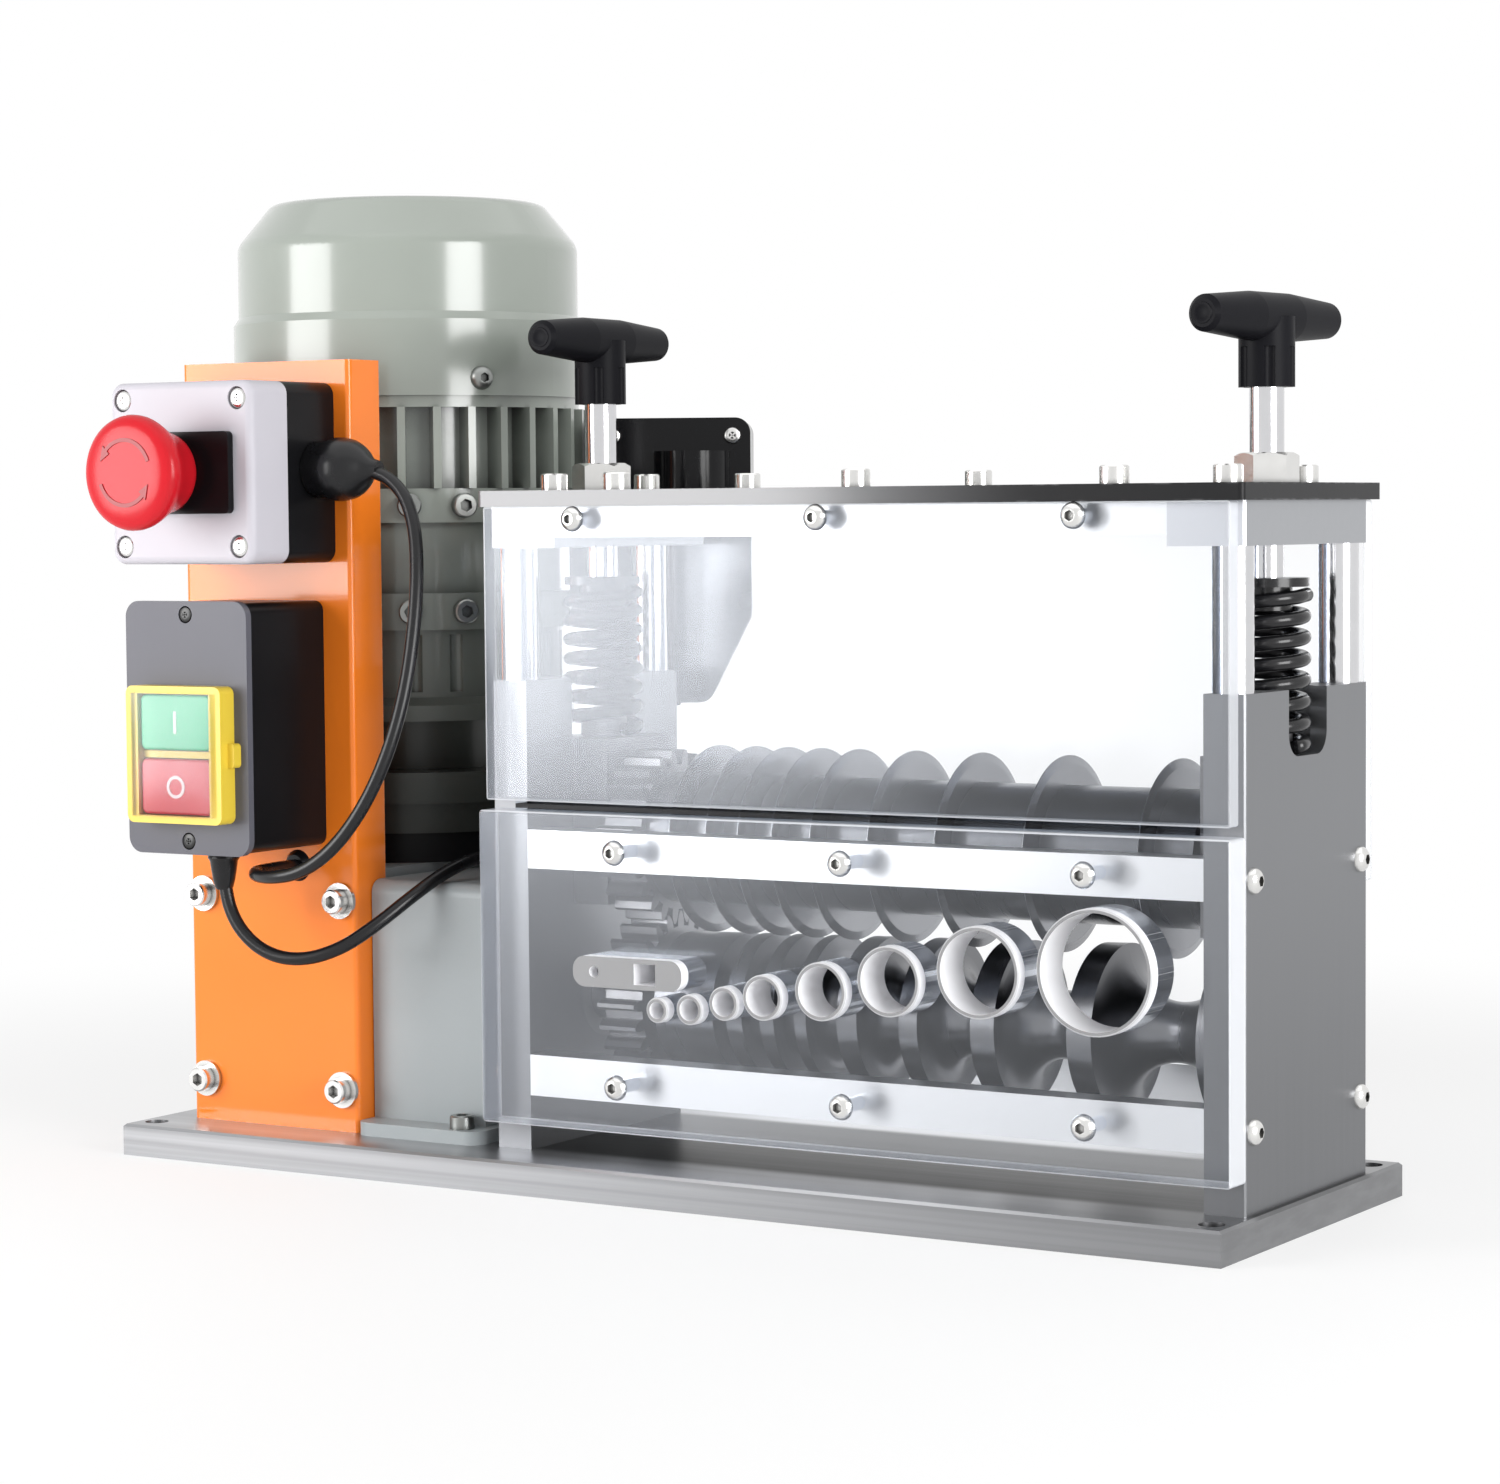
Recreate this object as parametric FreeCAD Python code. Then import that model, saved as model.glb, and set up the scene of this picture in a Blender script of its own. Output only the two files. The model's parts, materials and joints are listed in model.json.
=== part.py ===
import FreeCAD, Part
import math
import os

# Electric wire stripping machine, in millimetres.
# X runs along the machine, Y points to the back, Z points up.
# The origin is the centre of the base plate's bottom face.

Vec = FreeCAD.Vector
X_AXIS = Vec(1, 0, 0)
Y_AXIS = Vec(0, 1, 0)
Z_AXIS = Vec(0, 0, 1)

# Fits and clearances
running_fit = 0.05
body_gap = 0.3
shank_gap = 0.1

# Base plate
base_length = 460.0
base_width = 152.5
base_thick = 12.0
base_hole_inset_x = 8.0
base_hole_inset_y = 10.25
base_hole_r = 4.5
base_chamfer = 1.0

# Frame of end plates, posts, blocks and bars
frame_middle_x = 77.25
frame_length = 299.5
plate_thick = 15.0
plate_half_y = 50.5
plate_top = 183.5
slot_width = 31.5
slot_bottom = 161.0
slot_corner_r = 8.0
pocket_depth = 9.0
pocket_half_y = 21.0
pocket_bottom = 99.5
block_length = 28.0
block_height = 14.9
block_top = 246.6
post_r = 7.0
post_y = 43.5
post_spigot_r = 4.0
post_spigot_length = 10.0
top_plate_thick = 5.8
top_plate_half_y = 57.5
top_plate_overhang_left = 1.0
top_plate_overhang_right = 2.5
bar_depth = 12.0
top_bar_height = 11.0
upper_bar_bottom = 115.3
upper_bar_height = 14.1
lower_bar_bottom = 32.0
lower_bar_height = 15.0

# Clear guards
guard_overhang_left = 1.5
guard_overhang_right = 2.5
rear_guard_inset_right = 0.8
upper_guard_thick = 6.5
upper_guard_bottom = 140.3
lower_guard_thick = 12.0
lower_guard_bottom = 23.0
lower_guard_top = 137.0
lower_guard_corner_r = 1.5
lower_guard_reach_right = 2.5
rear_guard_bottom = 114.0
seal_depth = 7.5

# Screws
m5_shank_r = 2.4
m5_head_r = 4.6
m5_head_height = 3.0
m6_shank_r = 2.9
m6_head_r = 5.0
m6_head_height = 6.2
screw_length = 14.0
screw_edge_x = 31.0
screw_edge_y = 6.0
screw_bar_drop = 4.6
screw_bar_rise = 7.0

# Feed channels: distance from the right end plate, height of the guide bush, its outer radius and
# the roller's groove floor; a channel that would pass the roller's left end is left out
bush_wall = 1.5
bush_proud = 4.5
channel_sizes = [
    {"from_right": 32.0, "z": 91.8, "bush_r": 21.3, "floor_r": 10.5},
    {"from_right": 75.4, "z": 89.4, "bush_r": 15.7, "floor_r": 12.0},
    {"from_right": 109.8, "z": 84.5, "bush_r": 12.2, "floor_r": 12.5},
    {"from_right": 136.6, "z": 79.5, "bush_r": 10.2, "floor_r": 14.0},
    {"from_right": 160.0, "z": 76.0, "bush_r": 8.0, "floor_r": 15.0},
    {"from_right": 175.8, "z": 73.0, "bush_r": 6.0, "floor_r": 16.0},
    {"from_right": 190.0, "z": 70.0, "bush_r": 5.4, "floor_r": 17.0},
    {"from_right": 203.5, "z": 69.0, "bush_r": 4.5, "floor_r": 17.5},
]
flat_guide_from_right = 216.0
flat_guide_z = 81.3
flat_guide_length = 46.0
flat_guide_height = 11.0
flat_slot_offset = 7.5
flat_slot_length = 9.0
flat_slot_height = 7.5
flat_disc_from_right = 219.0

# Rollers
shaft_r = 10.0
lower_axis_z = 64.2
land_r_right = 31.0
land_r_left = 25.0
roller_gap_left = 4.0
roller_gap_right = 9.0
disc_r = 34.4
disc_thick = 2.0
sleeve_r = 24.0
sleeve_end_gap = 1.5
gear_module = 2.5
gear_teeth = 24
gear_width = 16.0
gear_inset = 17.5
gear_backlash = 0.4
bearing_r = 16.0
bearing_depth = 12.0
slide_inward = 15.0
slide_top = 161.0
slide_bearing_depth = 20.0
seat_boss_r = 8.6
seat_boss_height = 7.0

# Pressure springs, caps and T-screws
spring_mean_r = 12.5
spring_wire_r = 2.4
spring_pitch = 7.16
cap_thick = 3.0
cap_r = 14.2
cap_drop = 11.2
cap_boss_depth = 11.0
cap_wall = 2.7
tee_rod_r = 5.9
hub_rise = 37.9
hub_height = 18.5
hub_r = 9.5
hub_flutes = 6
hub_flute_r = 2.2
handle_rise = 5.0
handle_length = 82.0
handle_mid_r = 8.25
handle_end_r = 6.25
handle_turn_deg = {"left": -2.0, "right": 6.3}
tee_nut_height = 10.2
tee_nut_flat_r = 9.5

# Motor and gearbox
motor_from_frame = 102.9
worm_offset = 40.0
gearbox_width = 73.5
gearbox_front = -48.7
gearbox_back = 71.5
gearbox_bottom = 12.0
gearbox_top = 110.0
gearbox_corner_r = 8.0
gearbox_cover_thick = 5.0
wheel_r = 30.0
wheel_teeth = 30
wheel_width = 16.0
wheel_room = 2.5
worm_r = 8.8
worm_room_r = 14.0
worm_length = 44.0
rotor_shaft_r = 7.0
coupling_r = 21.0
coupling_length = 42.0
joint_from_frame = 37.5
housing_from_frame = 11.5
housing_neck_r = 28.0
housing_half_y = 42.0
housing_top = 107.0
housing_wall = 8.0
foot_thick = 5.0
foot_front = -55.0
foot_reach = 5.0
input_flange_top = 121.5
input_flange_r = 55.0
adapter_square = 116.0
adapter_step_z = 133.0
adapter_top = 145.0
neck_r = 38.0
neck_top = 165.0
shield_top = 171.0
shield_r = 64.0
lower_ring_bottom = 200.0
lower_ring_top = 214.0
upper_ring_bottom = 241.0
frame_bottom = 254.0
frame_rim_bottom = 285.0
cover_bottom = 289.4
ring_r = 66.0
shell_r = 60.0
shell_bore_r = 52.0
fin_r = 70.0
fin_count = 32
fin_thick = 3.0
flute_count = 24
flute_r = 3.0
cover_wall = 2.0
cover_skirt_r = 69.0
cover_skirt_top = 318.5
cover_r = 67.0
cover_ledge = 3.0
cover_shoulder_z = 349.5
cover_shoulder_edge_r = 8.0
cover_face_z = 366.0
cover_face_r = 53.5
cover_face_edge_r = 6.0
cover_screw_z = 296.0
cover_screw_length = 8.0
cover_lug_r = 58.5
ring_screw_length = 10.0
grille_slots = 12
stator_bottom = 182.0
stator_top = 270.0
stator_bore_r = 38.5
rotor_r = 38.0
fan_r = 56.0
fan_bottom = 303.0
fan_height = 26.0
fan_blades = 7

# Capacitor box
terminal_from_motor = 71.4
terminal_width = 61.0
terminal_front = 77.0
terminal_back = 118.0
terminal_turn_deg = 30.0
terminal_turn_x = 101.9
terminal_turn_y = 74.0
terminal_bottom = 169.5
terminal_top = 281.0
terminal_chamfer = 17.0
terminal_corner_r = 6.0
terminal_neck_bottom = 203.0
terminal_neck_top = 252.0
terminal_neck_length = 26.0
terminal_lid_thick = 3.0
terminal_bulge_r = 15.0
terminal_bulge_inset = 38.0

# Control bracket
bracket_reach_left = 40.1
bracket_reach_right = 39.6
bracket_front = -51.2
bracket_wall = 2.5
bracket_depth = 18.5
bracket_top = 302.0
washer_r = 6.8
washer_thick = 1.6
bracket_screw_inset = 7.0
bracket_screw_z = [28.0, 99.5]

# Emergency stop
estop_offset = -1.1
estop_z = 260.0
estop_size = 67.0
estop_base_depth = 27.8
estop_lid_depth = 21.0
estop_edge_r = 5.0
estop_wall = 3.0
estop_screw_spread = 54.0
collar_width = 50.0
collar_height = 30.0
collar_thick = 3.0
mushroom_r = 21.0
mushroom_front = -131.3
mushroom_back = -108.0
mushroom_back_r = 14.5
stem_r = 10.0

# On and off switch
switch_offset = 0.15
switch_z = 166.25
switch_width = 52.0
switch_height = 92.0
switch_depth = 45.8
switch_wall = 2.5
face_width = 57.0
face_height = 93.5
face_thick = 3.0
face_screw_spread = 83.6
surround_width = 44.5
surround_height = 50.5
surround_z = 156.75
surround_depth = 8.0
ear_reach = 3.0
ear_height = 9.0
ear_thick = 4.0
button_width = 33.0
button_height = 20.5
button_rib = 3.2
button_sunk = 1.2
button_travel = 2.0

# Leads
lead_r = 2.5
gland_r = 8.0
estop_gland_r = 10.5
estop_gland_length = 12.0
grommet_r = 6.0
grommet_length = 2.5
gland_seat_y = -62.0
gland_seat_z = 261.0
# x of each lead point is measured from the motor's axis
estop_lead_route = [
    (44.4, -62.0, 261.0),
    (59.4, -62.0, 261.0),
    (73.1, -63.5, 253.4),
    (80.8, -66.5, 239.9),
    (84.9, -71.0, 222.0),
    (86.9, -76.5, 201.0),
    (86.9, -82.5, 179.0),
    (83.4, -88.5, 157.5),
    (75.9, -93.5, 138.5),
    (64.4, -96.5, 123.5),
    (50.4, -97.5, 114.5),
    (35.2, -96.8, 112.0),
    (20.75, -88.5, 112.0),
    (12.4, -74.0, 112.0),
    (12.4, -53.7, 112.0),
]
switch_lead_route = [
    (3.4, -84.0, 117.75),
    (3.4, -84.0, 104.5),
    (9.5, -83.8, 90.9),
    (21.4, -82.5, 81.9),
    (36.1, -79.8, 79.9),
    (50.4, -74.5, 84.5),
    (60.4, -65.0, 93.5),
    (67.4, -52.0, 103.5),
    (71.9, -37.0, 111.5),
    (73.9, -18.0, 115.5),
    (74.9, 4.0, 116.6),
    (76.9, 29.0, 117.0),
    (78.9, 52.0, 120.0),
    (81.2, 71.0, 127.4),
    (84, 83.0, 138.6),
    (85.9, 88.5, 152.0),
    (85.9, 88.5, 164.5),
]


def box(x0, x1, y0, y1, z0, z1):
    return Part.makeBox(x1 - x0, y1 - y0, z1 - z0, Vec(x0, y0, z0))


def rod(start, axis, radius, length):
    return Part.makeCylinder(radius, length, Vec(*start), axis)


def tube(start, axis, outer, inner, length):
    return rod(start, axis, outer, length).cut(rod(start, axis, inner, length))


def edges_along(shape, axis):
    found = []
    for edge in shape.Edges:
        if edge.Curve.TypeId != "Part::GeomLine":
            continue
        way = edge.Vertexes[1].Point.sub(edge.Vertexes[0].Point)
        if abs(abs(way.dot(axis)) - way.Length) < 1e-6:
            found.append(edge)
    return found


def rounded_box(x0, x1, y0, y1, z0, z1, axis, radius):
    shape = box(x0, x1, y0, y1, z0, z1)
    return shape.makeFillet(radius, edges_along(shape, axis))


def polygon_prism(points, way):
    corners = [Vec(*p) for p in points]
    wire = Part.makePolygon(corners + [corners[0]])
    return Part.Face(wire).extrude(way)


def hexagon(centre, flat_r, height):
    corners = []
    for step in range(6):
        angle = math.radians(60 * step + 30)
        reach = flat_r / math.cos(math.radians(30))
        corners.append((centre[0] + reach * math.cos(angle), centre[1] + reach * math.sin(angle), centre[2]))
    return polygon_prism(corners, Vec(0, 0, height))


def revolved(profile, centre):
    # profile holds (radius, height) corners, turned about a vertical axis
    corners = [Vec(centre[0] + r, centre[1], z) for r, z in profile]
    face = Part.Face(Part.makePolygon(corners + [corners[0]]))
    return face.revolve(Vec(centre[0], centre[1], 0), Z_AXIS, 360)


def merged(shapes):
    whole = shapes[0]
    if len(shapes) > 1:
        whole = whole.fuse(shapes[1:])
    return whole.removeSplitter()


def group(shapes):
    return Part.makeCompound(shapes)


def turned(shape, place, axis):
    # moves a shape built along +Z at the origin so that +Z points along axis
    shape = shape.copy()
    shape.Placement = FreeCAD.Placement(Vec(*place), FreeCAD.Rotation(Z_AXIS, axis))
    return shape


def socket_screw(place, outward, shank_r, head_r, head_height, length):
    head = Part.makeCylinder(head_r, head_height)
    head = head.makeChamfer(0.5, [head.Edges[0]])
    shank = Part.makeCylinder(shank_r, length, Vec(0, 0, -length))
    socket = hexagon((0, 0, head_height * 0.4), head_r * 0.48, head_height)
    return turned(head.fuse(shank).cut(socket), place, outward)


def button_screw(place, outward, length=screw_length, shank_r=m5_shank_r, head_r=m5_head_r):
    profile = [Vec(0, 0, -length), Vec(shank_r, 0, -length), Vec(shank_r, 0, 0), Vec(head_r, 0, 0)]
    rise = m5_head_height
    mid = Vec(head_r * 0.82, 0, rise * 0.66)
    edges = [Part.makeLine(profile[i], profile[i + 1]) for i in range(3)]
    edges.append(Part.Arc(profile[3], mid, Vec(head_r * 0.45, 0, rise)).toShape())
    edges.append(Part.makeLine(Vec(head_r * 0.45, 0, rise), Vec(0, 0, rise)))
    edges.append(Part.makeLine(Vec(0, 0, rise), profile[0]))
    body = Part.Face(Part.Wire(edges)).revolve(Vec(0, 0, 0), Z_AXIS, 360)
    return turned(body.cut(hexagon((0, 0, rise * 0.4), head_r * 0.36, rise)), place, outward)


def screw_hole(place, outward, shank_r=m5_shank_r, length=screw_length):
    hole = Part.makeCylinder(shank_r + shank_gap, length + 40.5, Vec(0, 0, -length - 0.5))
    return turned(hole, place, outward)


# Places worked out from the driving sizes
frame_left = frame_middle_x - frame_length / 2
frame_right = frame_middle_x + frame_length / 2
left_inner = frame_left + plate_thick
right_inner = frame_right - plate_thick
guard_left = frame_left + guard_overhang_left
guard_right = frame_right - guard_overhang_right
front_face = -plate_half_y
upper_axis_z = lower_axis_z + gear_module * gear_teeth
block_bottom = block_top - block_height
top_plate_top = block_top + top_plate_thick
block_left_inner = frame_left + block_length
block_right_inner = frame_right - block_length
post_x_left = frame_left + plate_thick / 2
post_x_right = frame_right - plate_thick / 2
cap_top = block_bottom - cap_drop
hub_bottom = block_top + hub_rise
hub_top = hub_bottom + hub_height
handle_z = hub_top + handle_rise
sides = {"left": (left_inner, frame_left, -1), "right": (right_inner, frame_right, 1)}

gear_left = left_inner + gear_inset
gear_right = gear_left + gear_width
roller_left = gear_right + roller_gap_left
roller_right = right_inner - roller_gap_right
channels = [dict(size, x=right_inner - size["from_right"]) for size in channel_sizes]
channels = [channel for channel in channels if channel["x"] - channel["bush_r"] > roller_left]
flat_guide_x = right_inner - flat_guide_from_right
disc_places = [channel["x"] for channel in channels]
if right_inner - flat_disc_from_right > gear_right + disc_thick:
    disc_places.append(right_inner - flat_disc_from_right)

motor_x = frame_left - motor_from_frame
motor_y = worm_offset
motor_centre = (motor_x, motor_y)
shaft_joint_x = frame_left - joint_from_frame
housing_right = frame_left - housing_from_frame
foot_right = housing_right + foot_reach
gearbox_left = motor_x - gearbox_width / 2
gearbox_right = motor_x + gearbox_width / 2
bracket_left = motor_x - bracket_reach_left
bracket_right = motor_x + bracket_reach_right
estop_x = motor_x + estop_offset
switch_x = motor_x + switch_offset
terminal_left = motor_x + terminal_from_motor
terminal_right = terminal_left + terminal_width
terminal_bulge_x = terminal_left + terminal_bulge_inset
terminal_pivot = Vec(motor_x + terminal_turn_x, terminal_turn_y, 0)
estop_lead_points = [(motor_x + dx, y, z) for dx, y, z in estop_lead_route]
switch_lead_points = [(motor_x + dx, y, z) for dx, y, z in switch_lead_route]

screw_row_y = plate_half_y - screw_edge_y
bar_screw_x = (block_left_inner + 12.5, frame_middle_x - 8.25, block_right_inner - screw_edge_x)
plate_screw_x = (block_left_inner + 23.5, frame_middle_x + 0.75, block_right_inner - screw_edge_x + 9.0)
guard_screw_x = (left_inner + 45.5, frame_middle_x + 3.75, right_inner - 38.0)
top_bar_screw_z = block_top - screw_bar_drop
upper_bar_screw_z = upper_bar_bottom + screw_bar_rise
lower_bar_screw_z = lower_bar_bottom + screw_bar_rise + 0.5
top_screw_places = [(x, y) for x in (left_inner, right_inner) for y in (-post_y + 12.5, post_y - 12.5)]
top_screw_places += [(x, y) for x in plate_screw_x for y in (-screw_row_y, screw_row_y)]
upper_guard_screws = [(x, top_bar_screw_z) for x in bar_screw_x]
lower_guard_screws = [(x, z) for x in guard_screw_x for z in (upper_bar_screw_z + 1.2, lower_bar_screw_z)]
rear_guard_screws = [(x, z) for x in bar_screw_x for z in (top_bar_screw_z, upper_bar_screw_z)]
side_screw_places = [(y, z) for y in (-screw_row_y, screw_row_y) for z in (upper_bar_screw_z, lower_bar_screw_z)]


def make_base_plate():
    half_x = base_length / 2
    half_y = base_width / 2
    shape = box(-half_x, half_x, -half_y, half_y, 0, base_thick)
    shape = shape.makeChamfer(base_chamfer, [e for e in shape.Edges if e.BoundBox.ZMin > base_thick - 0.1])
    for x in (base_hole_inset_x - half_x, half_x - base_hole_inset_x):
        for y in (base_hole_inset_y - half_y, half_y - base_hole_inset_y):
            shape = shape.cut(rod((x, y, -1), Z_AXIS, base_hole_r, base_thick + 2))
    return shape


def side_screw_cutters(side):
    inner, outer, way = sides[side]
    cutters = []
    for y, z in side_screw_places:
        cutters.append(screw_hole((outer, y, z), X_AXIS * way, length=plate_thick + screw_length))
    return cutters


def make_end_plate(side):
    inner, outer, way = sides[side]
    x0 = min(inner, outer)
    x1 = max(inner, outer)
    shape = box(x0, x1, -plate_half_y, plate_half_y, base_thick, plate_top)
    half_slot = slot_width / 2
    slot = box(x0 - 1, x1 + 1, -half_slot, half_slot, slot_bottom, plate_top + 20)
    low_edges = [e for e in edges_along(slot, X_AXIS) if e.BoundBox.ZMax < slot_bottom + 1]
    shape = shape.cut(slot.makeFillet(slot_corner_r, low_edges))
    pocket_far = inner + way * pocket_depth
    pocket = box(min(inner, pocket_far) - (way > 0), max(inner, pocket_far) + (way < 0),
                 -pocket_half_y, pocket_half_y, pocket_bottom, plate_top + 1)
    shape = shape.cut(pocket)
    depth = bearing_depth if side == "right" else plate_thick
    shape = shape.cut(rod((inner, 0, lower_axis_z), X_AXIS * way, bearing_r, depth))
    post_x = post_x_left if side == "left" else post_x_right
    for y in (-post_y, post_y):
        shape = shape.cut(rod((post_x, y, plate_top), Z_AXIS * -1, post_spigot_r, post_spigot_length))
    for cutter in side_screw_cutters(side):
        shape = shape.cut(cutter)
    edges = [e for e in edges_along(shape, Z_AXIS) if abs(e.BoundBox.XMin - outer) < 0.01
             and abs(abs(e.BoundBox.YMin) - plate_half_y) < 0.01]
    return shape.makeChamfer(0.6, edges)


def make_guide_posts():
    posts = []
    for x in (post_x_left, post_x_right):
        for y in (-post_y, post_y):
            post = rod((x, y, plate_top), Z_AXIS, post_r, block_bottom - plate_top)
            spigot = rod((x, y, plate_top - post_spigot_length), Z_AXIS, post_spigot_r,
                         block_bottom - plate_top + 2 * post_spigot_length)
            posts.append(post.fuse(spigot))
    return group(posts)


def make_top_blocks():
    blocks = []
    for side in sides:
        inner, outer, way = sides[side]
        x0 = min(outer, outer - way * block_length)
        shape = box(x0, x0 + block_length, -plate_half_y, plate_half_y, block_bottom, block_top)
        shape = shape.cut(rod((inner, 0, block_bottom - 1), Z_AXIS, tee_rod_r + body_gap, block_height + 2))
        post_x = post_x_left if side == "left" else post_x_right
        for y in (-post_y, post_y):
            shape = shape.cut(rod((post_x, y, block_bottom), Z_AXIS, post_spigot_r, post_spigot_length))
        for x, y in top_screw_places[:4]:
            shape = shape.cut(screw_hole((x, y, top_plate_top), Z_AXIS, m6_shank_r))
        shape = shape.makeChamfer(0.8, [e for e in edges_along(shape, Z_AXIS) if abs(e.BoundBox.XMin - outer) < 0.01])
        blocks.append(shape)
    return group(blocks)


def make_top_plate():
    shape = rounded_box(frame_left - top_plate_overhang_left, frame_right + top_plate_overhang_right,
                        -top_plate_half_y, top_plate_half_y, block_top, top_plate_top, Z_AXIS, 2.0)
    for side in sides:
        shape = shape.cut(rod((sides[side][0], 0, block_top - 1), Z_AXIS, tee_rod_r + body_gap, top_plate_thick + 2))
    for x, y in top_screw_places:
        shape = shape.cut(screw_hole((x, y, top_plate_top), Z_AXIS, m6_shank_r))
    return shape


def make_cross_bars():
    bars = []
    for way in (-1, 1):
        y0 = way * plate_half_y
        y1 = way * (plate_half_y - bar_depth)
        low_y = min(y0, y1)
        high_y = max(y0, y1)
        top_bar = box(block_left_inner, block_right_inner, low_y, high_y, block_top - top_bar_height, block_top)
        for x, y in top_screw_places[4:]:
            top_bar = top_bar.cut(screw_hole((x, y, top_plate_top), Z_AXIS, m6_shank_r))
        holes = upper_guard_screws if way < 0 else rear_guard_screws
        thick = upper_guard_thick
        for x, z in holes:
            top_bar = top_bar.cut(screw_hole((x, way * (plate_half_y + thick), z), Y_AXIS * way, length=12))
        bars.append(top_bar)
        for bottom, height in ((upper_bar_bottom, upper_bar_height), (lower_bar_bottom, lower_bar_height)):
            bar = box(left_inner, right_inner, low_y, high_y, bottom, bottom + height)
            holes = lower_guard_screws if way < 0 else rear_guard_screws
            thick = lower_guard_thick if way < 0 else upper_guard_thick
            reach = 20 if way < 0 else 12
            for x, z in holes:
                bar = bar.cut(screw_hole((x, way * (plate_half_y + thick), z), Y_AXIS * way, length=reach))
            for side in sides:
                for cutter in side_screw_cutters(side):
                    bar = bar.cut(cutter)
            bars.append(bar)
    return group(bars)


def make_upper_front_guard():
    back = front_face
    shape = rounded_box(guard_left, guard_right, back - upper_guard_thick, back,
                        upper_guard_bottom, block_top, Y_AXIS, 1.0)
    for x, z in upper_guard_screws:
        shape = shape.cut(screw_hole((x, back - upper_guard_thick, z), Y_AXIS * -1, length=12))
    return shape


def guide_hole(channel, radius, depth):
    return rod((channel["x"], front_face + 1, channel["z"]), Y_AXIS * -1, radius, depth)


def make_lower_front_guard():
    back = front_face
    front = back - lower_guard_thick
    shape = rounded_box(guard_left, guard_right + lower_guard_reach_right, front, back,
                        lower_guard_bottom, lower_guard_top, Y_AXIS, lower_guard_corner_r)
    shape = shape.makeChamfer(0.8, [e for e in shape.Edges if e.BoundBox.YMax < front + 0.01])
    for channel in channels:
        shape = shape.cut(guide_hole(channel, channel["bush_r"], lower_guard_thick + 2))
    shape = shape.cut(flat_guide_outline(front - 1, back + 1, 0))
    for x, z in lower_guard_screws:
        shape = shape.cut(screw_hole((x, front, z), Y_AXIS * -1, length=20))
    return shape


def make_gap_seal():
    return box(left_inner, right_inner, front_face - seal_depth, front_face, lower_guard_top, upper_guard_bottom)


def make_rear_guard():
    shape = rounded_box(guard_left, frame_right - rear_guard_inset_right, plate_half_y,
                        plate_half_y + upper_guard_thick, rear_guard_bottom, block_top, Y_AXIS, 1.0)
    for x, z in rear_guard_screws:
        shape = shape.cut(screw_hole((x, plate_half_y + upper_guard_thick, z), Y_AXIS, length=12))
    return shape


def flat_guide_outline(y0, y1, inset):
    half = flat_guide_length / 2 - inset
    tall = flat_guide_height / 2 - inset
    return rounded_box(flat_guide_x - half, flat_guide_x + half, y0, y1,
                       flat_guide_z - tall, flat_guide_z + tall, Y_AXIS, tall * 0.9)


def make_wire_guides():
    guides = []
    front = front_face - lower_guard_thick - bush_proud
    for channel in channels:
        outer = channel["bush_r"]
        length = front_face - front
        ring = rod((channel["x"], front, channel["z"]), Y_AXIS, outer, length)
        ring = ring.makeChamfer(0.5, [e for e in ring.Edges if e.BoundBox.YMax < front + 0.01])
        ring = ring.cut(rod((channel["x"], front - 1, channel["z"]), Y_AXIS, outer - bush_wall, length + 2))
        guides.append(ring)
    flat = flat_guide_outline(front, front_face, 0)
    slot_x = flat_guide_x + flat_slot_offset
    slot = box(slot_x - flat_slot_length / 2, slot_x + flat_slot_length / 2, front - 1, front_face + 1,
               flat_guide_z - flat_slot_height / 2, flat_guide_z + flat_slot_height / 2)
    flat = flat.cut(slot)
    flat = flat.cut(rod((flat_guide_x - 14, front - 1, flat_guide_z), Y_AXIS, 2.0, 6))
    guides.append(flat)
    return group(guides)


def make_tee_screw_nuts():
    nuts = []
    for side in sides:
        x = sides[side][0]
        nut = hexagon((x, 0, top_plate_top), tee_nut_flat_r, tee_nut_height)
        reach = tee_nut_flat_r / math.cos(math.radians(30))
        trim = revolved([(0, top_plate_top), (reach, top_plate_top), (reach, top_plate_top + tee_nut_height - 1.2),
                         (tee_nut_flat_r - 0.4, top_plate_top + tee_nut_height), (0, top_plate_top + tee_nut_height)],
                        (x, 0))
        nut = nut.common(trim)
        nut = nut.cut(rod((x, 0, top_plate_top - 1), Z_AXIS, tee_rod_r + running_fit, tee_nut_height + 2))
        nuts.append(nut)
    return group(nuts)


def make_lower_bearings():
    left = tube((frame_left, 0, lower_axis_z), X_AXIS, bearing_r, shaft_r + running_fit, plate_thick)
    right = tube((right_inner, 0, lower_axis_z), X_AXIS, bearing_r, shaft_r + running_fit, bearing_depth)
    return group([left, right])


def make_top_plate_screws():
    return group([socket_screw((x, y, top_plate_top), Z_AXIS, m6_shank_r, m6_head_r, m6_head_height, screw_length)
                  for x, y in top_screw_places])


def make_frame_screws():
    screws = []
    for x, z in upper_guard_screws:
        screws.append(button_screw((x, front_face - upper_guard_thick, z), Y_AXIS * -1, 12))
    for x, z in lower_guard_screws:
        screws.append(button_screw((x, front_face - lower_guard_thick, z), Y_AXIS * -1, 20))
    for x, z in rear_guard_screws:
        screws.append(button_screw((x, plate_half_y + upper_guard_thick, z), Y_AXIS, 12))
    for side in sides:
        inner, outer, way = sides[side]
        for y, z in side_screw_places:
            screws.append(button_screw((outer, y, z), X_AXIS * way, plate_thick + screw_length - 2))
    return group(screws)


def land_radius(x):
    share = (x - roller_left) / (roller_right - roller_left)
    return land_r_left + share * (land_r_right - land_r_left)


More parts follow.
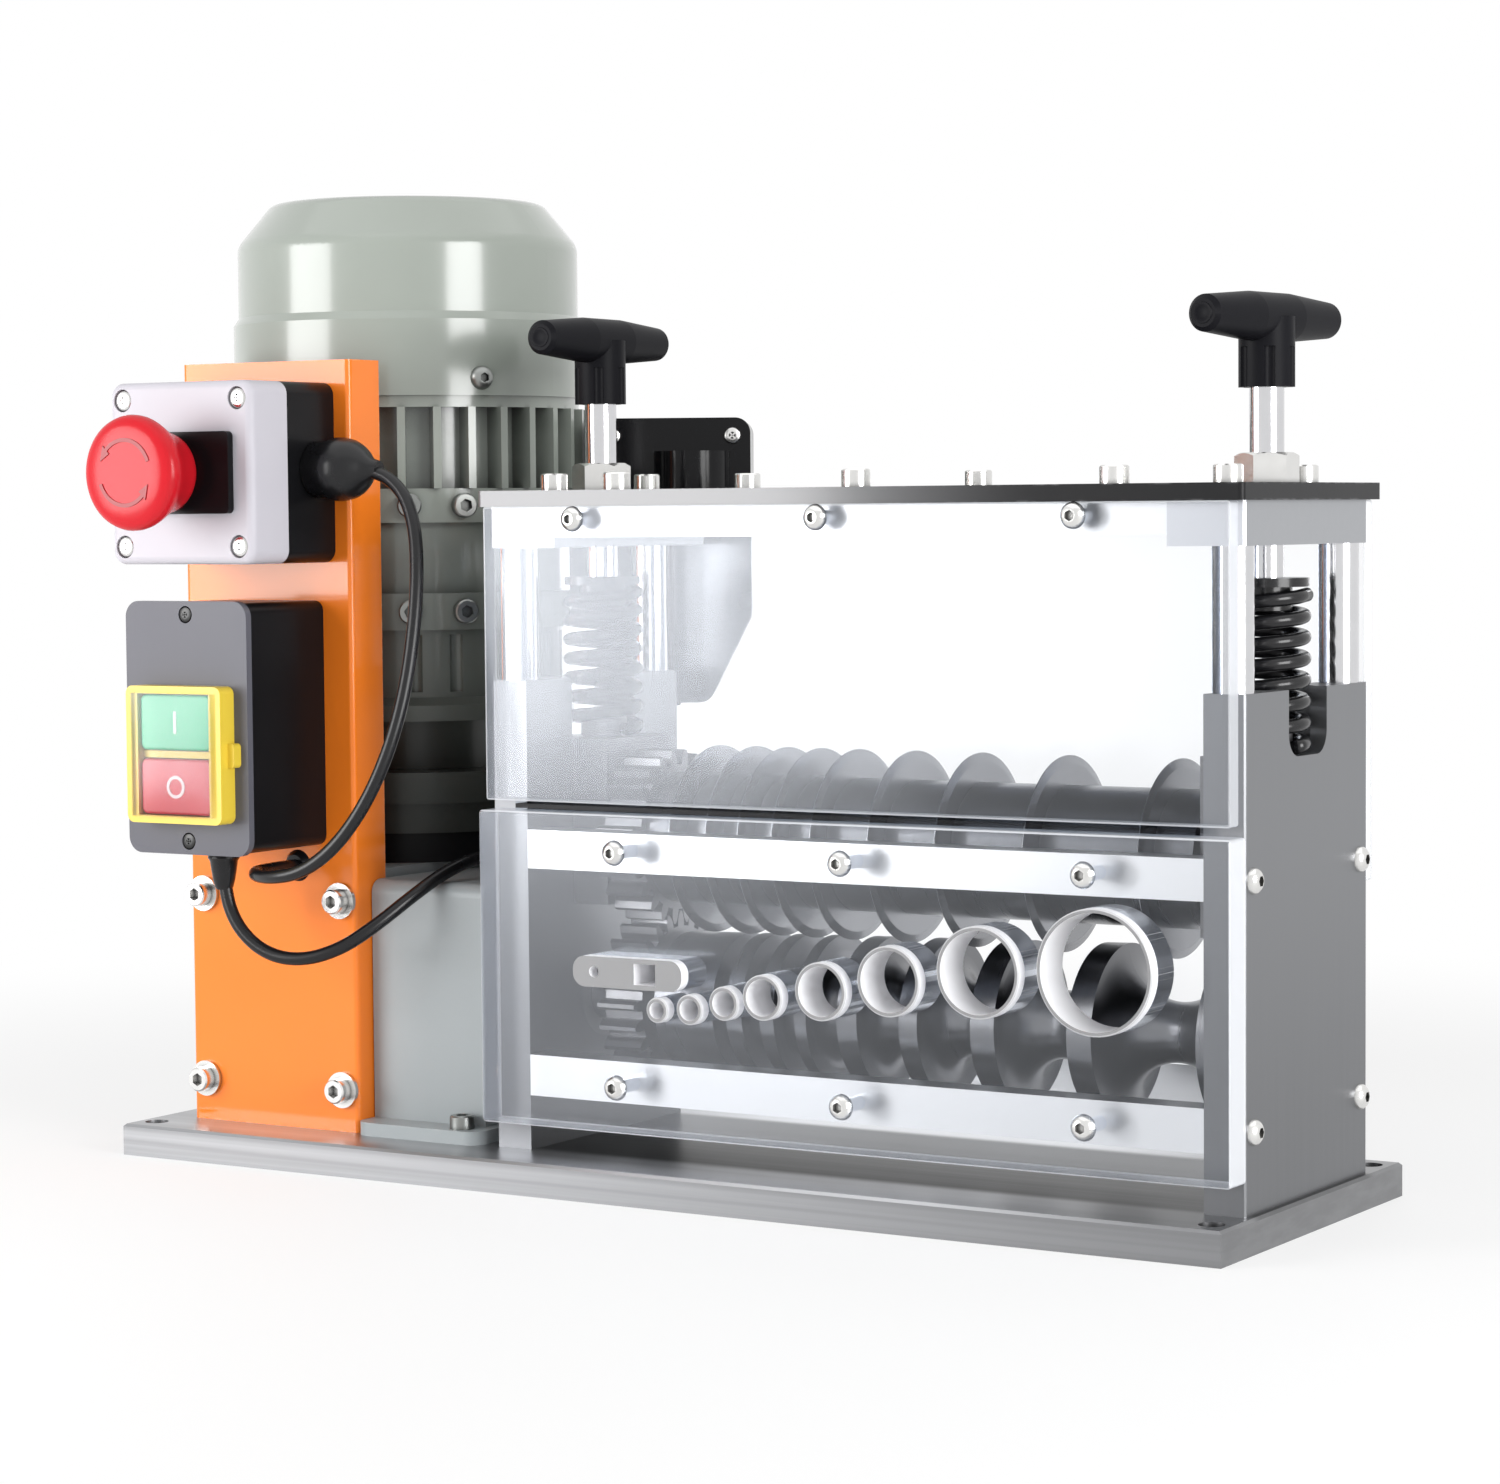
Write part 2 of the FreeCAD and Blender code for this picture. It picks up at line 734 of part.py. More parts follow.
def groove(channel):
    # a slot round the roller with a rounded floor, as wide as the bush's bore
    half = channel["bush_r"] - bush_wall
    floor = channel["floor_r"]
    x = channel["x"]
    top = land_r_right + 5
    bend = min(half, land_radius(x) - floor)
    start = Vec(x - half, 0, lower_axis_z + floor + bend)
    end = Vec(x + half, 0, lower_axis_z + floor + bend)
    low = Vec(x, 0, lower_axis_z + floor)
    outer_left = Vec(x - half, 0, lower_axis_z + top)
    outer_right = Vec(x + half, 0, lower_axis_z + top)
    edges = [Part.makeLine(outer_left, start)]
    edges.append(Part.Arc(start, low, end).toShape())
    edges.append(Part.makeLine(end, outer_right))
    edges.append(Part.makeLine(outer_right, outer_left))
    face = Part.Face(Part.Wire(edges))
    return face.revolve(Vec(0, 0, lower_axis_z), X_AXIS, 360)


def make_lower_roller():
    cone = Part.makeCone(land_r_left, land_r_right, roller_right - roller_left,
                         Vec(roller_left, 0, lower_axis_z), X_AXIS)
    for channel in channels:
        cone = cone.cut(groove(channel))
    shaft_end = right_inner + bearing_depth - 1.0
    shaft = rod((shaft_joint_x, 0, lower_axis_z), X_AXIS, shaft_r, shaft_end - shaft_joint_x)
    return merged([cone, shaft])


def involute_gear(axis_z, turn_deg):
    # spur gear about X, flanks as short chords of the involute, teeth thinned for backlash
    pitch_r = gear_module * gear_teeth / 2
    base_r = pitch_r * math.cos(math.radians(20))
    tip_r = pitch_r + gear_module * 0.95
    root_r = pitch_r - gear_module * 1.25
    half_tooth = math.pi / (2 * gear_teeth) - gear_backlash / (2 * pitch_r)

    def flank_angle(radius):
        roll = math.sqrt(max((radius / base_r) ** 2 - 1, 0))
        pitch_roll = math.sqrt((pitch_r / base_r) ** 2 - 1)
        return half_tooth + (pitch_roll - math.atan(pitch_roll)) - (roll - math.atan(roll))

    radii = [root_r, max(base_r, root_r), pitch_r, tip_r]
    corners = []
    for tooth in range(gear_teeth):
        middle = 2 * math.pi * tooth / gear_teeth + math.radians(turn_deg)
        for radius in radii:
            angle = middle - flank_angle(radius)
            corners.append((gear_left, radius * math.cos(angle), axis_z + radius * math.sin(angle)))
        for radius in reversed(radii):
            angle = middle + flank_angle(radius)
            corners.append((gear_left, radius * math.cos(angle), axis_z + radius * math.sin(angle)))
    blank = polygon_prism(corners, Vec(gear_width, 0, 0))
    return blank.cut(rod((gear_left - 1, 0, axis_z), X_AXIS, shaft_r, gear_width + 2))


def make_shaft_coupling():
    start = shaft_joint_x - coupling_length / 2
    shape = tube((start, 0, lower_axis_z), X_AXIS, coupling_r, shaft_r, coupling_length)
    groove_ring = tube((shaft_joint_x - 1, 0, lower_axis_z), X_AXIS, coupling_r + 1, coupling_r - 2, 2)
    return shape.cut(groove_ring)


def make_worm_wheel():
    corners = []
    tip_r = wheel_r + 0.7
    root_r = wheel_r - 3.5
    for tooth in range(wheel_teeth):
        for share, radius in ((-0.30, root_r), (-0.14, tip_r), (0.14, tip_r), (0.30, root_r)):
            angle = 2 * math.pi * (tooth + share) / wheel_teeth
            corners.append((motor_x - wheel_width / 2, radius * math.cos(angle),
                            lower_axis_z + radius * math.sin(angle)))
    wheel = polygon_prism(corners, Vec(wheel_width, 0, 0))
    shaft_start = gearbox_left + 3
    shaft = rod((shaft_start, 0, lower_axis_z), X_AXIS, shaft_r, shaft_joint_x - shaft_start)
    return wheel.fuse(shaft)


def slide_span(side):
    inner, outer, way = sides[side]
    far = inner + way * (pocket_depth - body_gap / 3)
    near = inner - way * slide_inward
    return near, far


def make_bearing_slides():
    slides = []
    for side in sides:
        near, far = slide_span(side)
        way = sides[side][2]
        half = pocket_half_y - body_gap / 3
        shape = box(min(near, far), max(near, far), -half, half, pocket_bottom + body_gap, slide_top)
        shape = shape.cut(rod((near, 0, upper_axis_z), X_AXIS * way, shaft_r + running_fit, slide_bearing_depth))
        boss = rod((sides[side][0], 0, slide_top - 1), Z_AXIS, seat_boss_r, seat_boss_height + 1)
        slides.append(shape.fuse(boss).removeSplitter())
    return group(slides)


def make_upper_shaft():
    start = slide_span("left")[0] - slide_bearing_depth + 1
    end = slide_span("right")[0] + slide_bearing_depth - 1
    shape = rod((start, 0, upper_axis_z), X_AXIS, shaft_r, end - start)
    sleeves = []
    stops = sorted(disc_places)
    edges = [gear_right] + stops + [slide_span("right")[0] - sleeve_end_gap]
    for left, right in zip(edges[:-1], edges[1:]):
        low = left + (disc_thick / 2 if left in stops else 0)
        high = right - (disc_thick / 2 if right in stops else 0)
        sleeves.append(rod((low, 0, upper_axis_z), X_AXIS, sleeve_r, high - low))
    return merged([shape] + sleeves)


def make_cutter_discs():
    discs = []
    for x in disc_places:
        profile = [Vec(x - disc_thick / 2, 0, upper_axis_z + shaft_r), Vec(x + disc_thick / 2, 0, upper_axis_z + shaft_r),
                   Vec(x + disc_thick / 2, 0, upper_axis_z + disc_r - 3), Vec(x + 0.15, 0, upper_axis_z + disc_r),
                   Vec(x - 0.15, 0, upper_axis_z + disc_r), Vec(x - disc_thick / 2, 0, upper_axis_z + disc_r - 3)]
        face = Part.Face(Part.makePolygon(profile + [profile[0]]))
        discs.append(face.revolve(Vec(0, 0, upper_axis_z), X_AXIS, 360))
    return group(discs)


def arc_between(start, corner, end):
    # arc from start to end whose end tangents meet at corner
    middle = (start + end) * 0.5
    half = (end - start).Length / 2
    rise = (corner - middle).Length
    angle = math.atan2(rise, half)
    top = middle + (corner - middle) * (math.tan(angle / 2) / math.tan(angle))
    return Part.Arc(start, top, end).toShape()


def biarc(p1, t1, p2, t2):
    span = p2 - p1
    total = t1 + t2
    a = 2 * (t1.dot(t2) - 1)
    b = 2 * span.dot(total)
    reach = (b - math.sqrt(b * b - 4 * a * span.dot(span))) / (2 * a) if abs(a) > 1e-9 else span.dot(span) / b
    reach = abs(reach)
    first = p1 + t1 * reach
    second = p2 - t2 * reach
    middle = (first + second) * 0.5
    return [arc_between(p1, first, middle), arc_between(middle, second, p2)]


def make_spring(side):
    x = sides[side][0]
    tail = 2 * spring_wire_r
    tail_rise = tail * 0.1
    low = slide_top + body_gap + spring_wire_r + tail_rise
    high = cap_top - cap_thick - body_gap - spring_wire_r - tail_rise
    rise = high - low
    spring_turns = max(2, round(rise / spring_pitch))
    steps = spring_turns * 4

    def at(step):
        angle = step * math.pi / 2
        climb = rise / steps
        place = Vec(x + spring_mean_r * math.cos(angle), spring_mean_r * math.sin(angle), low + step * climb)
        way = Vec(-spring_mean_r * math.sin(angle), spring_mean_r * math.cos(angle), climb / (math.pi / 2))
        return place, way.normalize()

    edges = []
    lead_in, way = at(0)
    edges.append(Part.makeLine(lead_in - way * tail, lead_in))
    for step in range(steps):
        p1, t1 = at(step)
        p2, t2 = at(step + 1)
        edges += biarc(p1, t1, p2, t2)
    lead_out, way = at(steps)
    edges.append(Part.makeLine(lead_out, lead_out + way * tail))
    path = Part.Wire(edges)
    start = edges[0].Vertexes[0].Point
    ring = Part.Wire([Part.makeCircle(spring_wire_r, start, at(0)[1])])
    pitch = rise / spring_turns
    print(side, "spring pitch", round(pitch, 3), "least gap to itself", round(pitch * 0.99 - 2 * spring_wire_r, 3))
    return path.makePipeShell([ring], True, False)


def make_spring_cap(side):
    x = sides[side][0]
    plate = rod((x, 0, cap_top - cap_thick), Z_AXIS, cap_r, cap_thick)
    boss = rod((x, 0, cap_top - cap_boss_depth), Z_AXIS, tee_rod_r + cap_wall, cap_boss_depth)
    shape = plate.fuse(boss).removeSplitter()
    return shape.cut(rod((x, 0, cap_top - cap_boss_depth + 2), Z_AXIS, tee_rod_r + running_fit, cap_boss_depth))


def make_tee_screw(side):
    x = sides[side][0]
    low = cap_top - cap_boss_depth + 2.1
    return rod((x, 0, low), Z_AXIS, tee_rod_r, hub_top - 5 - low)


def make_tee_handle(side):
    x = sides[side][0]
    hub = rod((x, 0, hub_bottom), Z_AXIS, hub_r, handle_z - hub_bottom)
    for step in range(hub_flutes):
        angle = 2 * math.pi * step / hub_flutes
        reach = hub_r + hub_flute_r * 0.45
        hub = hub.cut(rod((x + reach * math.cos(angle), reach * math.sin(angle), hub_bottom - 1), Z_AXIS,
                          hub_flute_r, hub_top - hub_bottom - 4))
    half = handle_length / 2
    edge = 1.5
    corners = [Vec(0, 0, -half), Vec(handle_end_r - edge, 0, -half), Vec(handle_end_r, 0, -half + edge),
               Vec(handle_mid_r, 0, -hub_r - 3), Vec(handle_mid_r, 0, hub_r + 3), Vec(handle_end_r, 0, half - edge),
               Vec(handle_end_r - edge, 0, half), Vec(0, 0, half)]
    bar = Part.Face(Part.makePolygon(corners + [corners[0]])).revolve(Vec(0, 0, 0), Z_AXIS, 360)
    angle = math.radians(handle_turn_deg[side])
    bar = turned(bar, (x, 0, handle_z), Vec(math.sin(angle), math.cos(angle), 0))
    shape = merged([hub, bar])
    return shape.cut(rod((x, 0, hub_bottom - 1), Z_AXIS, tee_rod_r, hub_top - 5 - hub_bottom + 1))


def make_gearbox_housing():
    shape = rounded_box(gearbox_left, gearbox_right, gearbox_front, gearbox_back, gearbox_bottom, gearbox_top,
                        X_AXIS, gearbox_corner_r)
    side = gearbox_left + gearbox_cover_thick
    shape = shape.common(box(side, gearbox_right, gearbox_front, gearbox_back, gearbox_bottom, gearbox_top))
    room_end = motor_x + wheel_width / 2 + 8
    shape = shape.cut(rod((side - 1, 0, lower_axis_z), X_AXIS, wheel_r + wheel_room, room_end - side + 1))
    room_low = lower_axis_z - worm_length / 2 - 3
    shape = shape.cut(rod((motor_x, motor_y, room_low), Z_AXIS, worm_room_r, lower_axis_z + worm_length / 2 + 3 - room_low))
    shape = shape.cut(rod((motor_x, motor_y, room_low - 6), Z_AXIS, rotor_shaft_r + running_fit, 200))
    shape = shape.cut(rod((motor_x, 0, lower_axis_z), X_AXIS, shaft_r + running_fit, gearbox_width))
    for x, z in bracket_screw_places():
        shape = shape.cut(screw_hole((x, bracket_front - washer_thick, z), Y_AXIS * -1, length=16))
    return shape


def make_gearbox_cover():
    shape = rounded_box(gearbox_left, gearbox_right, gearbox_front, gearbox_back, gearbox_bottom, gearbox_top,
                        X_AXIS, gearbox_corner_r)
    side = gearbox_left + gearbox_cover_thick
    shape = shape.common(box(gearbox_left, side, gearbox_front, gearbox_back, gearbox_bottom, gearbox_top))
    shape = shape.cut(rod((gearbox_left + 2, 0, lower_axis_z), X_AXIS, shaft_r + running_fit, gearbox_cover_thick))
    for x, z in bracket_screw_places():
        shape = shape.cut(screw_hole((x, bracket_front - washer_thick, z), Y_AXIS * -1, length=16))
    return shape


def make_coupling_housing():
    x0 = bracket_right + 0.5
    wall = housing_wall
    body = rounded_box(x0, housing_right, -housing_half_y, housing_half_y, base_thick, housing_top, X_AXIS, 5.0)
    foot = rounded_box(x0, foot_right, foot_front, -foot_front, base_thick, base_thick + foot_thick, Z_AXIS, 6.0)
    neck = rod((gearbox_right, 0, lower_axis_z), X_AXIS, housing_neck_r, x0 - gearbox_right + 1)
    shape = merged([body, foot, neck])
    room_start = x0 + wall / 4
    room_end = housing_right - wall / 2
    shape = shape.cut(rod((room_start, 0, lower_axis_z), X_AXIS, coupling_r + wall / 2, room_end - room_start))
    shape = shape.cut(rod((gearbox_right - 1, 0, lower_axis_z), X_AXIS, shaft_r + 1.0, 100))
    for place in foot_screw_places():
        shape = shape.cut(screw_hole(place, Z_AXIS, length=foot_thick))
    return shape


def foot_screw_places():
    return [(foot_right - 11, y, base_thick + foot_thick) for y in (foot_front + 6.5, -foot_front - 6.5)]


def make_input_flange():
    shape = rod((motor_x, motor_y, gearbox_top), Z_AXIS, input_flange_r, input_flange_top - gearbox_top)
    return shape.cut(rod((motor_x, motor_y, 0), Z_AXIS, rotor_shaft_r + running_fit, 300))


def make_motor_adapter():
    half = adapter_square / 2
    low = rod((motor_x, motor_y, input_flange_top), Z_AXIS, half - 1, adapter_step_z - input_flange_top)
    high = rod((motor_x, motor_y, adapter_step_z), Z_AXIS, half + 2, adapter_top - adapter_step_z)
    neck = rod((motor_x, motor_y, adapter_top), Z_AXIS, neck_r, neck_top - adapter_top)
    shape = merged([low, high, neck])
    return shape.cut(rod((motor_x, motor_y, 0), Z_AXIS, rotor_shaft_r + 1, 300))


def make_stator_housing():
    profile = [(rotor_shaft_r + running_fit, neck_top), (shield_r, neck_top), (shield_r, shield_top),
               (shell_r, shield_top + 3), (shell_r, lower_ring_bottom), (ring_r, lower_ring_bottom),
               (ring_r, lower_ring_top), (shell_r, lower_ring_top), (shell_r, upper_ring_bottom),
               (ring_r, upper_ring_bottom), (ring_r, frame_bottom), (shell_bore_r, frame_bottom),
               (shell_bore_r, shield_top), (rotor_shaft_r + running_fit, shield_top)]
    shape = revolved(profile, motor_centre)
    for step in range(flute_count):
        angle = 2 * math.pi * (step + 0.5) / flute_count
        reach = shell_r + flute_r * 0.5
        place = (motor_x + reach * math.cos(angle), motor_y + reach * math.sin(angle), shield_top + 5)
        shape = shape.cut(rod(place, Z_AXIS, flute_r, lower_ring_bottom - shield_top - 7))
    for place, outward in ring_screws():
        shape = shape.cut(screw_hole(place, outward, length=ring_screw_length))
    return shape


def radial_places(angles, radius, z):
    places = []
    for degrees in angles:
        angle = math.radians(degrees)
        outward = Vec(math.cos(angle), math.sin(angle), 0)
        places.append(((motor_x + radius * outward.x, motor_y + radius * outward.y, z), outward))
    return places


def ring_screws():
    angles = [middle + way * 9 for middle in (-45, 135, 225) for way in (-1, 1)]
    places = []
    for low, high in ((lower_ring_bottom, lower_ring_top), (upper_ring_bottom, frame_bottom)):
        places += radial_places(angles, ring_r, (low + high) / 2)
    return places


def cover_screws():
    return radial_places([-30 + 90 * step for step in range(4)], cover_skirt_r, cover_screw_z)


def make_motor_frame():
    profile = [(shell_bore_r, frame_bottom), (shell_r, frame_bottom), (shell_r, frame_rim_bottom),
               (ring_r + 1, frame_rim_bottom), (ring_r + 1, cover_bottom), (shell_bore_r, cover_bottom)]
    core = revolved(profile, motor_centre)
    fins = []
    for step in range(fin_count):
        fin = Part.makeBox(fin_r - shell_r + 3, fin_thick, frame_rim_bottom - frame_bottom,
                           Vec(shell_r - 3, -fin_thick / 2, frame_bottom))
        fin.rotate(Vec(0, 0, 0), Z_AXIS, 360.0 * step / fin_count)
        fin.translate(Vec(motor_x, motor_y, 0))
        fins.append(fin)
    lugs = []
    for step in range(4):
        lug = box(cover_lug_r, cover_skirt_r - cover_wall - body_gap, -6, 6, cover_bottom - 3, cover_screw_z + 7)
        lug.rotate(Vec(0, 0, 0), Z_AXIS, -30 + 90 * step)
        lug.translate(Vec(motor_x, motor_y, 0))
        lugs.append(lug)
    shape = merged([core] + fins + lugs)
    for place, outward in cover_screws():
        shape = shape.cut(screw_hole(place, outward, length=cover_screw_length))
    return shape


def make_stator():
    return tube((motor_x, motor_y, stator_bottom), Z_AXIS, shell_bore_r, stator_bore_r, stator_top - stator_bottom)


def make_fan_cover():
    wall = cover_wall
    outer = [(0, cover_bottom), (cover_skirt_r, cover_bottom), (cover_skirt_r, cover_skirt_top),
             (cover_r, cover_skirt_top + cover_ledge), (cover_r, cover_shoulder_z), (cover_face_r, cover_face_z),
             (0, cover_face_z + 2)]
    inner = [(0, cover_bottom - 1), (cover_skirt_r - wall, cover_bottom - 1),
             (cover_skirt_r - wall, cover_skirt_top - wall), (cover_r - wall, cover_skirt_top - wall),
             (cover_r - wall, cover_shoulder_z - wall), (cover_face_r - wall, cover_face_z - wall * 1.5),
             (0, cover_face_z - wall)]
    shape = revolved(outer, motor_centre)
    for z, radius in ((cover_shoulder_z, cover_shoulder_edge_r), (cover_face_z, cover_face_edge_r)):
        rims = [e for e in shape.Edges if abs(e.BoundBox.ZMin - z) < 0.01 and abs(e.BoundBox.ZMax - z) < 0.01]
        shape = shape.makeFillet(radius, rims)
    shape = shape.cut(revolved(inner, motor_centre))
    for step in range(grille_slots):
        slot = box(20, cover_face_r - 8, -2.0, 2.0, cover_face_z - 10, cover_face_z + 10)
        slot.rotate(Vec(0, 0, 0), Z_AXIS, 360.0 * step / grille_slots)
        slot.translate(Vec(motor_x, motor_y, 0))
        shape = shape.cut(slot)
    for place, outward in cover_screws():
        shape = shape.cut(screw_hole(place, outward, length=cover_screw_length))
    return shape


def make_motor_rotor():
    worm_low = lower_axis_z - worm_length / 2
    shaft_low = worm_low - 8
    parts = [rod((motor_x, motor_y, shaft_low), Z_AXIS, rotor_shaft_r, fan_bottom + fan_height - 4 - shaft_low)]
    parts.append(rod((motor_x, motor_y, worm_low), Z_AXIS, worm_r, worm_length))
    parts.append(rod((motor_x, motor_y, stator_bottom + 5), Z_AXIS, rotor_r, stator_top - stator_bottom - 10))
    return merged(parts)


def make_cooling_fan():
    parts = [rod((motor_x, motor_y, fan_bottom), Z_AXIS, 16, fan_height - 6)]
    parts.append(rod((motor_x, motor_y, fan_bottom), Z_AXIS, fan_r - 4, 3))
    for step in range(fan_blades):
        blade = box(12, fan_r, -1.0, 1.0, fan_bottom + 1, fan_bottom + fan_height)
        blade.rotate(Vec(0, 0, 0), Z_AXIS, 360.0 * step / fan_blades)
        blade.translate(Vec(motor_x, motor_y, 0))
        parts.append(blade)
    return merged(parts).cut(rod((motor_x, motor_y, 0), Z_AXIS, rotor_shaft_r, 600))


def terminal_outline(y0, y1, inset):
    x0 = terminal_left + inset
    x1 = terminal_right - inset
    low = terminal_bottom + inset
    cut = terminal_chamfer
    corners = [(x0, y0, low), (x1 - cut, y0, low), (x1, y0, low + 2 * cut), (x1, y0, terminal_top - inset),
               (x0, y0, terminal_top - inset)]
    shape = polygon_prism(corners, Vec(0, y1 - y0, 0))
    return shape.makeFillet(terminal_corner_r - inset, edges_along(shape, Y_AXIS))


def terminal_turned(shape):
    # faces the box towards the front corner of the machine, its neck towards the motor's axis
    shape.rotate(terminal_pivot, Z_AXIS, terminal_turn_deg)
    return shape


def make_terminal_box():
    wall = 2.5
    shape = terminal_outline(terminal_front, terminal_back, 0)
    shape = shape.cut(terminal_outline(terminal_front - 1, terminal_back - wall, wall))
    neck = box(terminal_left - terminal_neck_length, terminal_left + wall, terminal_front + 2, terminal_back - 14,
               terminal_neck_bottom, terminal_neck_top)
    shape = merged([shape, neck])
    for x, z in terminal_screws():
        boss = rod((x, terminal_front, z), Y_AXIS, 4.0, 12).common(terminal_outline(terminal_front, terminal_back, 0))
        shape = shape.fuse(boss)
        shape = shape.cut(rod((x, terminal_front - 20, z), Y_AXIS, 1.6, 30))
    shape = terminal_turned(shape).cut(rod((motor_x, motor_y, 0), Z_AXIS, ring_r, terminal_top))
    end = switch_lead_points[-1]
    return shape.cut(rod((end[0], end[1], terminal_bottom - 1), Z_AXIS, lead_r + body_gap, 6)).removeSplitter()


def terminal_screws():
    return [(terminal_left + 7, terminal_top - 7), (terminal_right - 7, terminal_top - 7),
            (terminal_left + 7, terminal_bottom + 7)]


def make_terminal_lid():
    front = terminal_front - terminal_lid_thick
    shape = terminal_outline(front, terminal_front, 0)
    bulge_low = terminal_bottom + 30
    bulge_top = terminal_top - 13
    bulge = rod((terminal_bulge_x, front + 2, bulge_low), Z_AXIS, terminal_bulge_r, bulge_top - bulge_low)
    bulge = bulge.common(box(terminal_left, terminal_right, 0, terminal_front - 0.5, 0, terminal_top))
    shape = merged([shape, bulge])
    for x, z in terminal_screws():
        shape = shape.cut(rod((x, terminal_front - 20, z), Y_AXIS, 1.6, 30))
    return terminal_turned(shape)


def bracket_screw_places():
    return [(x, z) for x in (bracket_left + bracket_screw_inset, bracket_right - bracket_screw_inset)
            for z in bracket_screw_z]


def make_control_bracket():
    back = bracket_front + bracket_depth
    outer = rounded_box(bracket_left, bracket_right, bracket_front, back + 5, base_thick, bracket_top, Z_AXIS, 2.0)
    inner = box(bracket_left + bracket_wall, bracket_right - bracket_wall, bracket_front + bracket_wall, back + 6,
                0, bracket_top + 1)
    shape = outer.common(box(bracket_left, bracket_right, bracket_front, back, 0, bracket_top)).cut(inner)
    for x, z in bracket_screw_places():
        shape = shape.cut(screw_hole((x, bracket_front - washer_thick, z), Y_AXIS * -1, length=16))
    end = estop_lead_points[-1]
    return shape.cut(rod((end[0], bracket_front - 1, end[2]), Y_AXIS, lead_r + body_gap, bracket_wall + 2))


def make_bracket_screws():
    shapes = []
    for x, z in bracket_screw_places():
        ring = tube((x, bracket_front, z), Y_AXIS * -1, washer_r, m5_shank_r + shank_gap, washer_thick)
        shapes.append(ring)
        shapes.append(socket_screw((x, bracket_front - washer_thick, z), Y_AXIS * -1, m5_shank_r, m5_head_r,
                                   5.0, screw_length))
    return group(shapes)


def estop_block(y0, y1):
    half = estop_size / 2
    return rounded_box(estop_x - half, estop_x + half, y0, y1, estop_z - half, estop_z + half, Y_AXIS, estop_edge_r)


def estop_levels():
    seam = bracket_front - estop_base_depth
    face = seam - estop_lid_depth
    return seam, face


def make_estop_base():
    seam, face = estop_levels()
    half = estop_size / 2 - estop_wall
    room = box(estop_x - half, estop_x + half, seam - 1, bracket_front - estop_wall, estop_z - half, estop_z + half)
    shape = estop_block(seam, bracket_front).cut(room)
    return shape.cut(rod((estop_x, gland_seat_y, gland_seat_z), X_AXIS, lead_r + body_gap, 60))


def make_estop_lid():
    seam, face = estop_levels()
    shape = estop_block(face, seam)
    shape = shape.makeFillet(3.0, [e for e in shape.Edges if e.BoundBox.YMax < face + 0.01])
    half = estop_size / 2 - estop_wall
    room = box(estop_x - half, estop_x + half, face + estop_wall, seam + 1, estop_z - half, estop_z + half)
    shape = shape.cut(room)
    shape = shape.cut(rod((estop_x, face - 1, estop_z), Y_AXIS, stem_r + body_gap, 10))
    spread = estop_screw_spread / 2
    for x in (-spread, spread):
        for z in (-spread, spread):
            shape = shape.cut(rod((estop_x + x, face - 1, estop_z + z), Y_AXIS, 4.2, 2.5))
    return shape


def make_estop_collar():
    seam, face = estop_levels()
    half_x = collar_width / 2
    half_z = collar_height / 2
    shape = rounded_box(estop_x - half_x, estop_x + half_x, face - collar_thick, face,
                        estop_z - half_z, estop_z + half_z, Y_AXIS, 2.0)
    return shape.cut(rod((estop_x, face - 20, estop_z), Y_AXIS, stem_r + body_gap, 40))


def make_estop_button():
    seam, face = estop_levels()
    depth = mushroom_back - mushroom_front
    corners = [Vec(0, 0, 0), Vec(mushroom_r - 4, 0, 0.5), Vec(mushroom_r - 1.2, 0, 1.6), Vec(mushroom_r - 0.2, 0, 3.2),
               Vec(mushroom_r, 0, 5.0), Vec(mushroom_r - 0.8, 0, 8.0), Vec(mushroom_back_r, 0, depth),
               Vec(stem_r, 0, depth),
               Vec(stem_r, 0, face - mushroom_front + 8), Vec(0, 0, face - mushroom_front + 8)]
    shape = Part.Face(Part.makePolygon(corners + [corners[0]])).revolve(Vec(0, 0, 0), Z_AXIS, 360)
    return turned(shape, (estop_x, mushroom_front, estop_z), Y_AXIS)


def switch_levels():
    face_back = bracket_front - switch_depth
    face_front = face_back - face_thick
    return face_back, face_front


def make_switch_box():
    face_back, face_front = switch_levels()
    half_x = switch_width / 2
    half_z = switch_height / 2
    wall = switch_wall
    shape = rounded_box(switch_x - half_x, switch_x + half_x, face_back, bracket_front,
                        switch_z - half_z, switch_z + half_z, Y_AXIS, 4.0)
    shape = shape.cut(box(switch_x - half_x + wall, switch_x + half_x - wall, face_back - 1, bracket_front - wall,
                          switch_z - half_z + wall, switch_z + half_z - wall))
    start = switch_lead_points[0]
    return shape.cut(rod((start[0], start[1], start[2]), Z_AXIS, lead_r + body_gap, 15))


def make_switch_face():
    face_back, face_front = switch_levels()
    half_x = face_width / 2
    half_z = face_height / 2
    shape = rounded_box(switch_x - half_x, switch_x + half_x, face_front, face_back,
                        switch_z - half_z, switch_z + half_z, Y_AXIS, 6.0)
    for z in (-face_screw_spread / 2, face_screw_spread / 2):
        shape = shape.cut(rod((switch_x, face_front - 1, switch_z + z), Y_AXIS, 3.2, 2.8))
    return shape


def button_places():
    step = (button_height + button_rib) / 2
    return {"start_button": surround_z + step, "stop_button": surround_z - step}


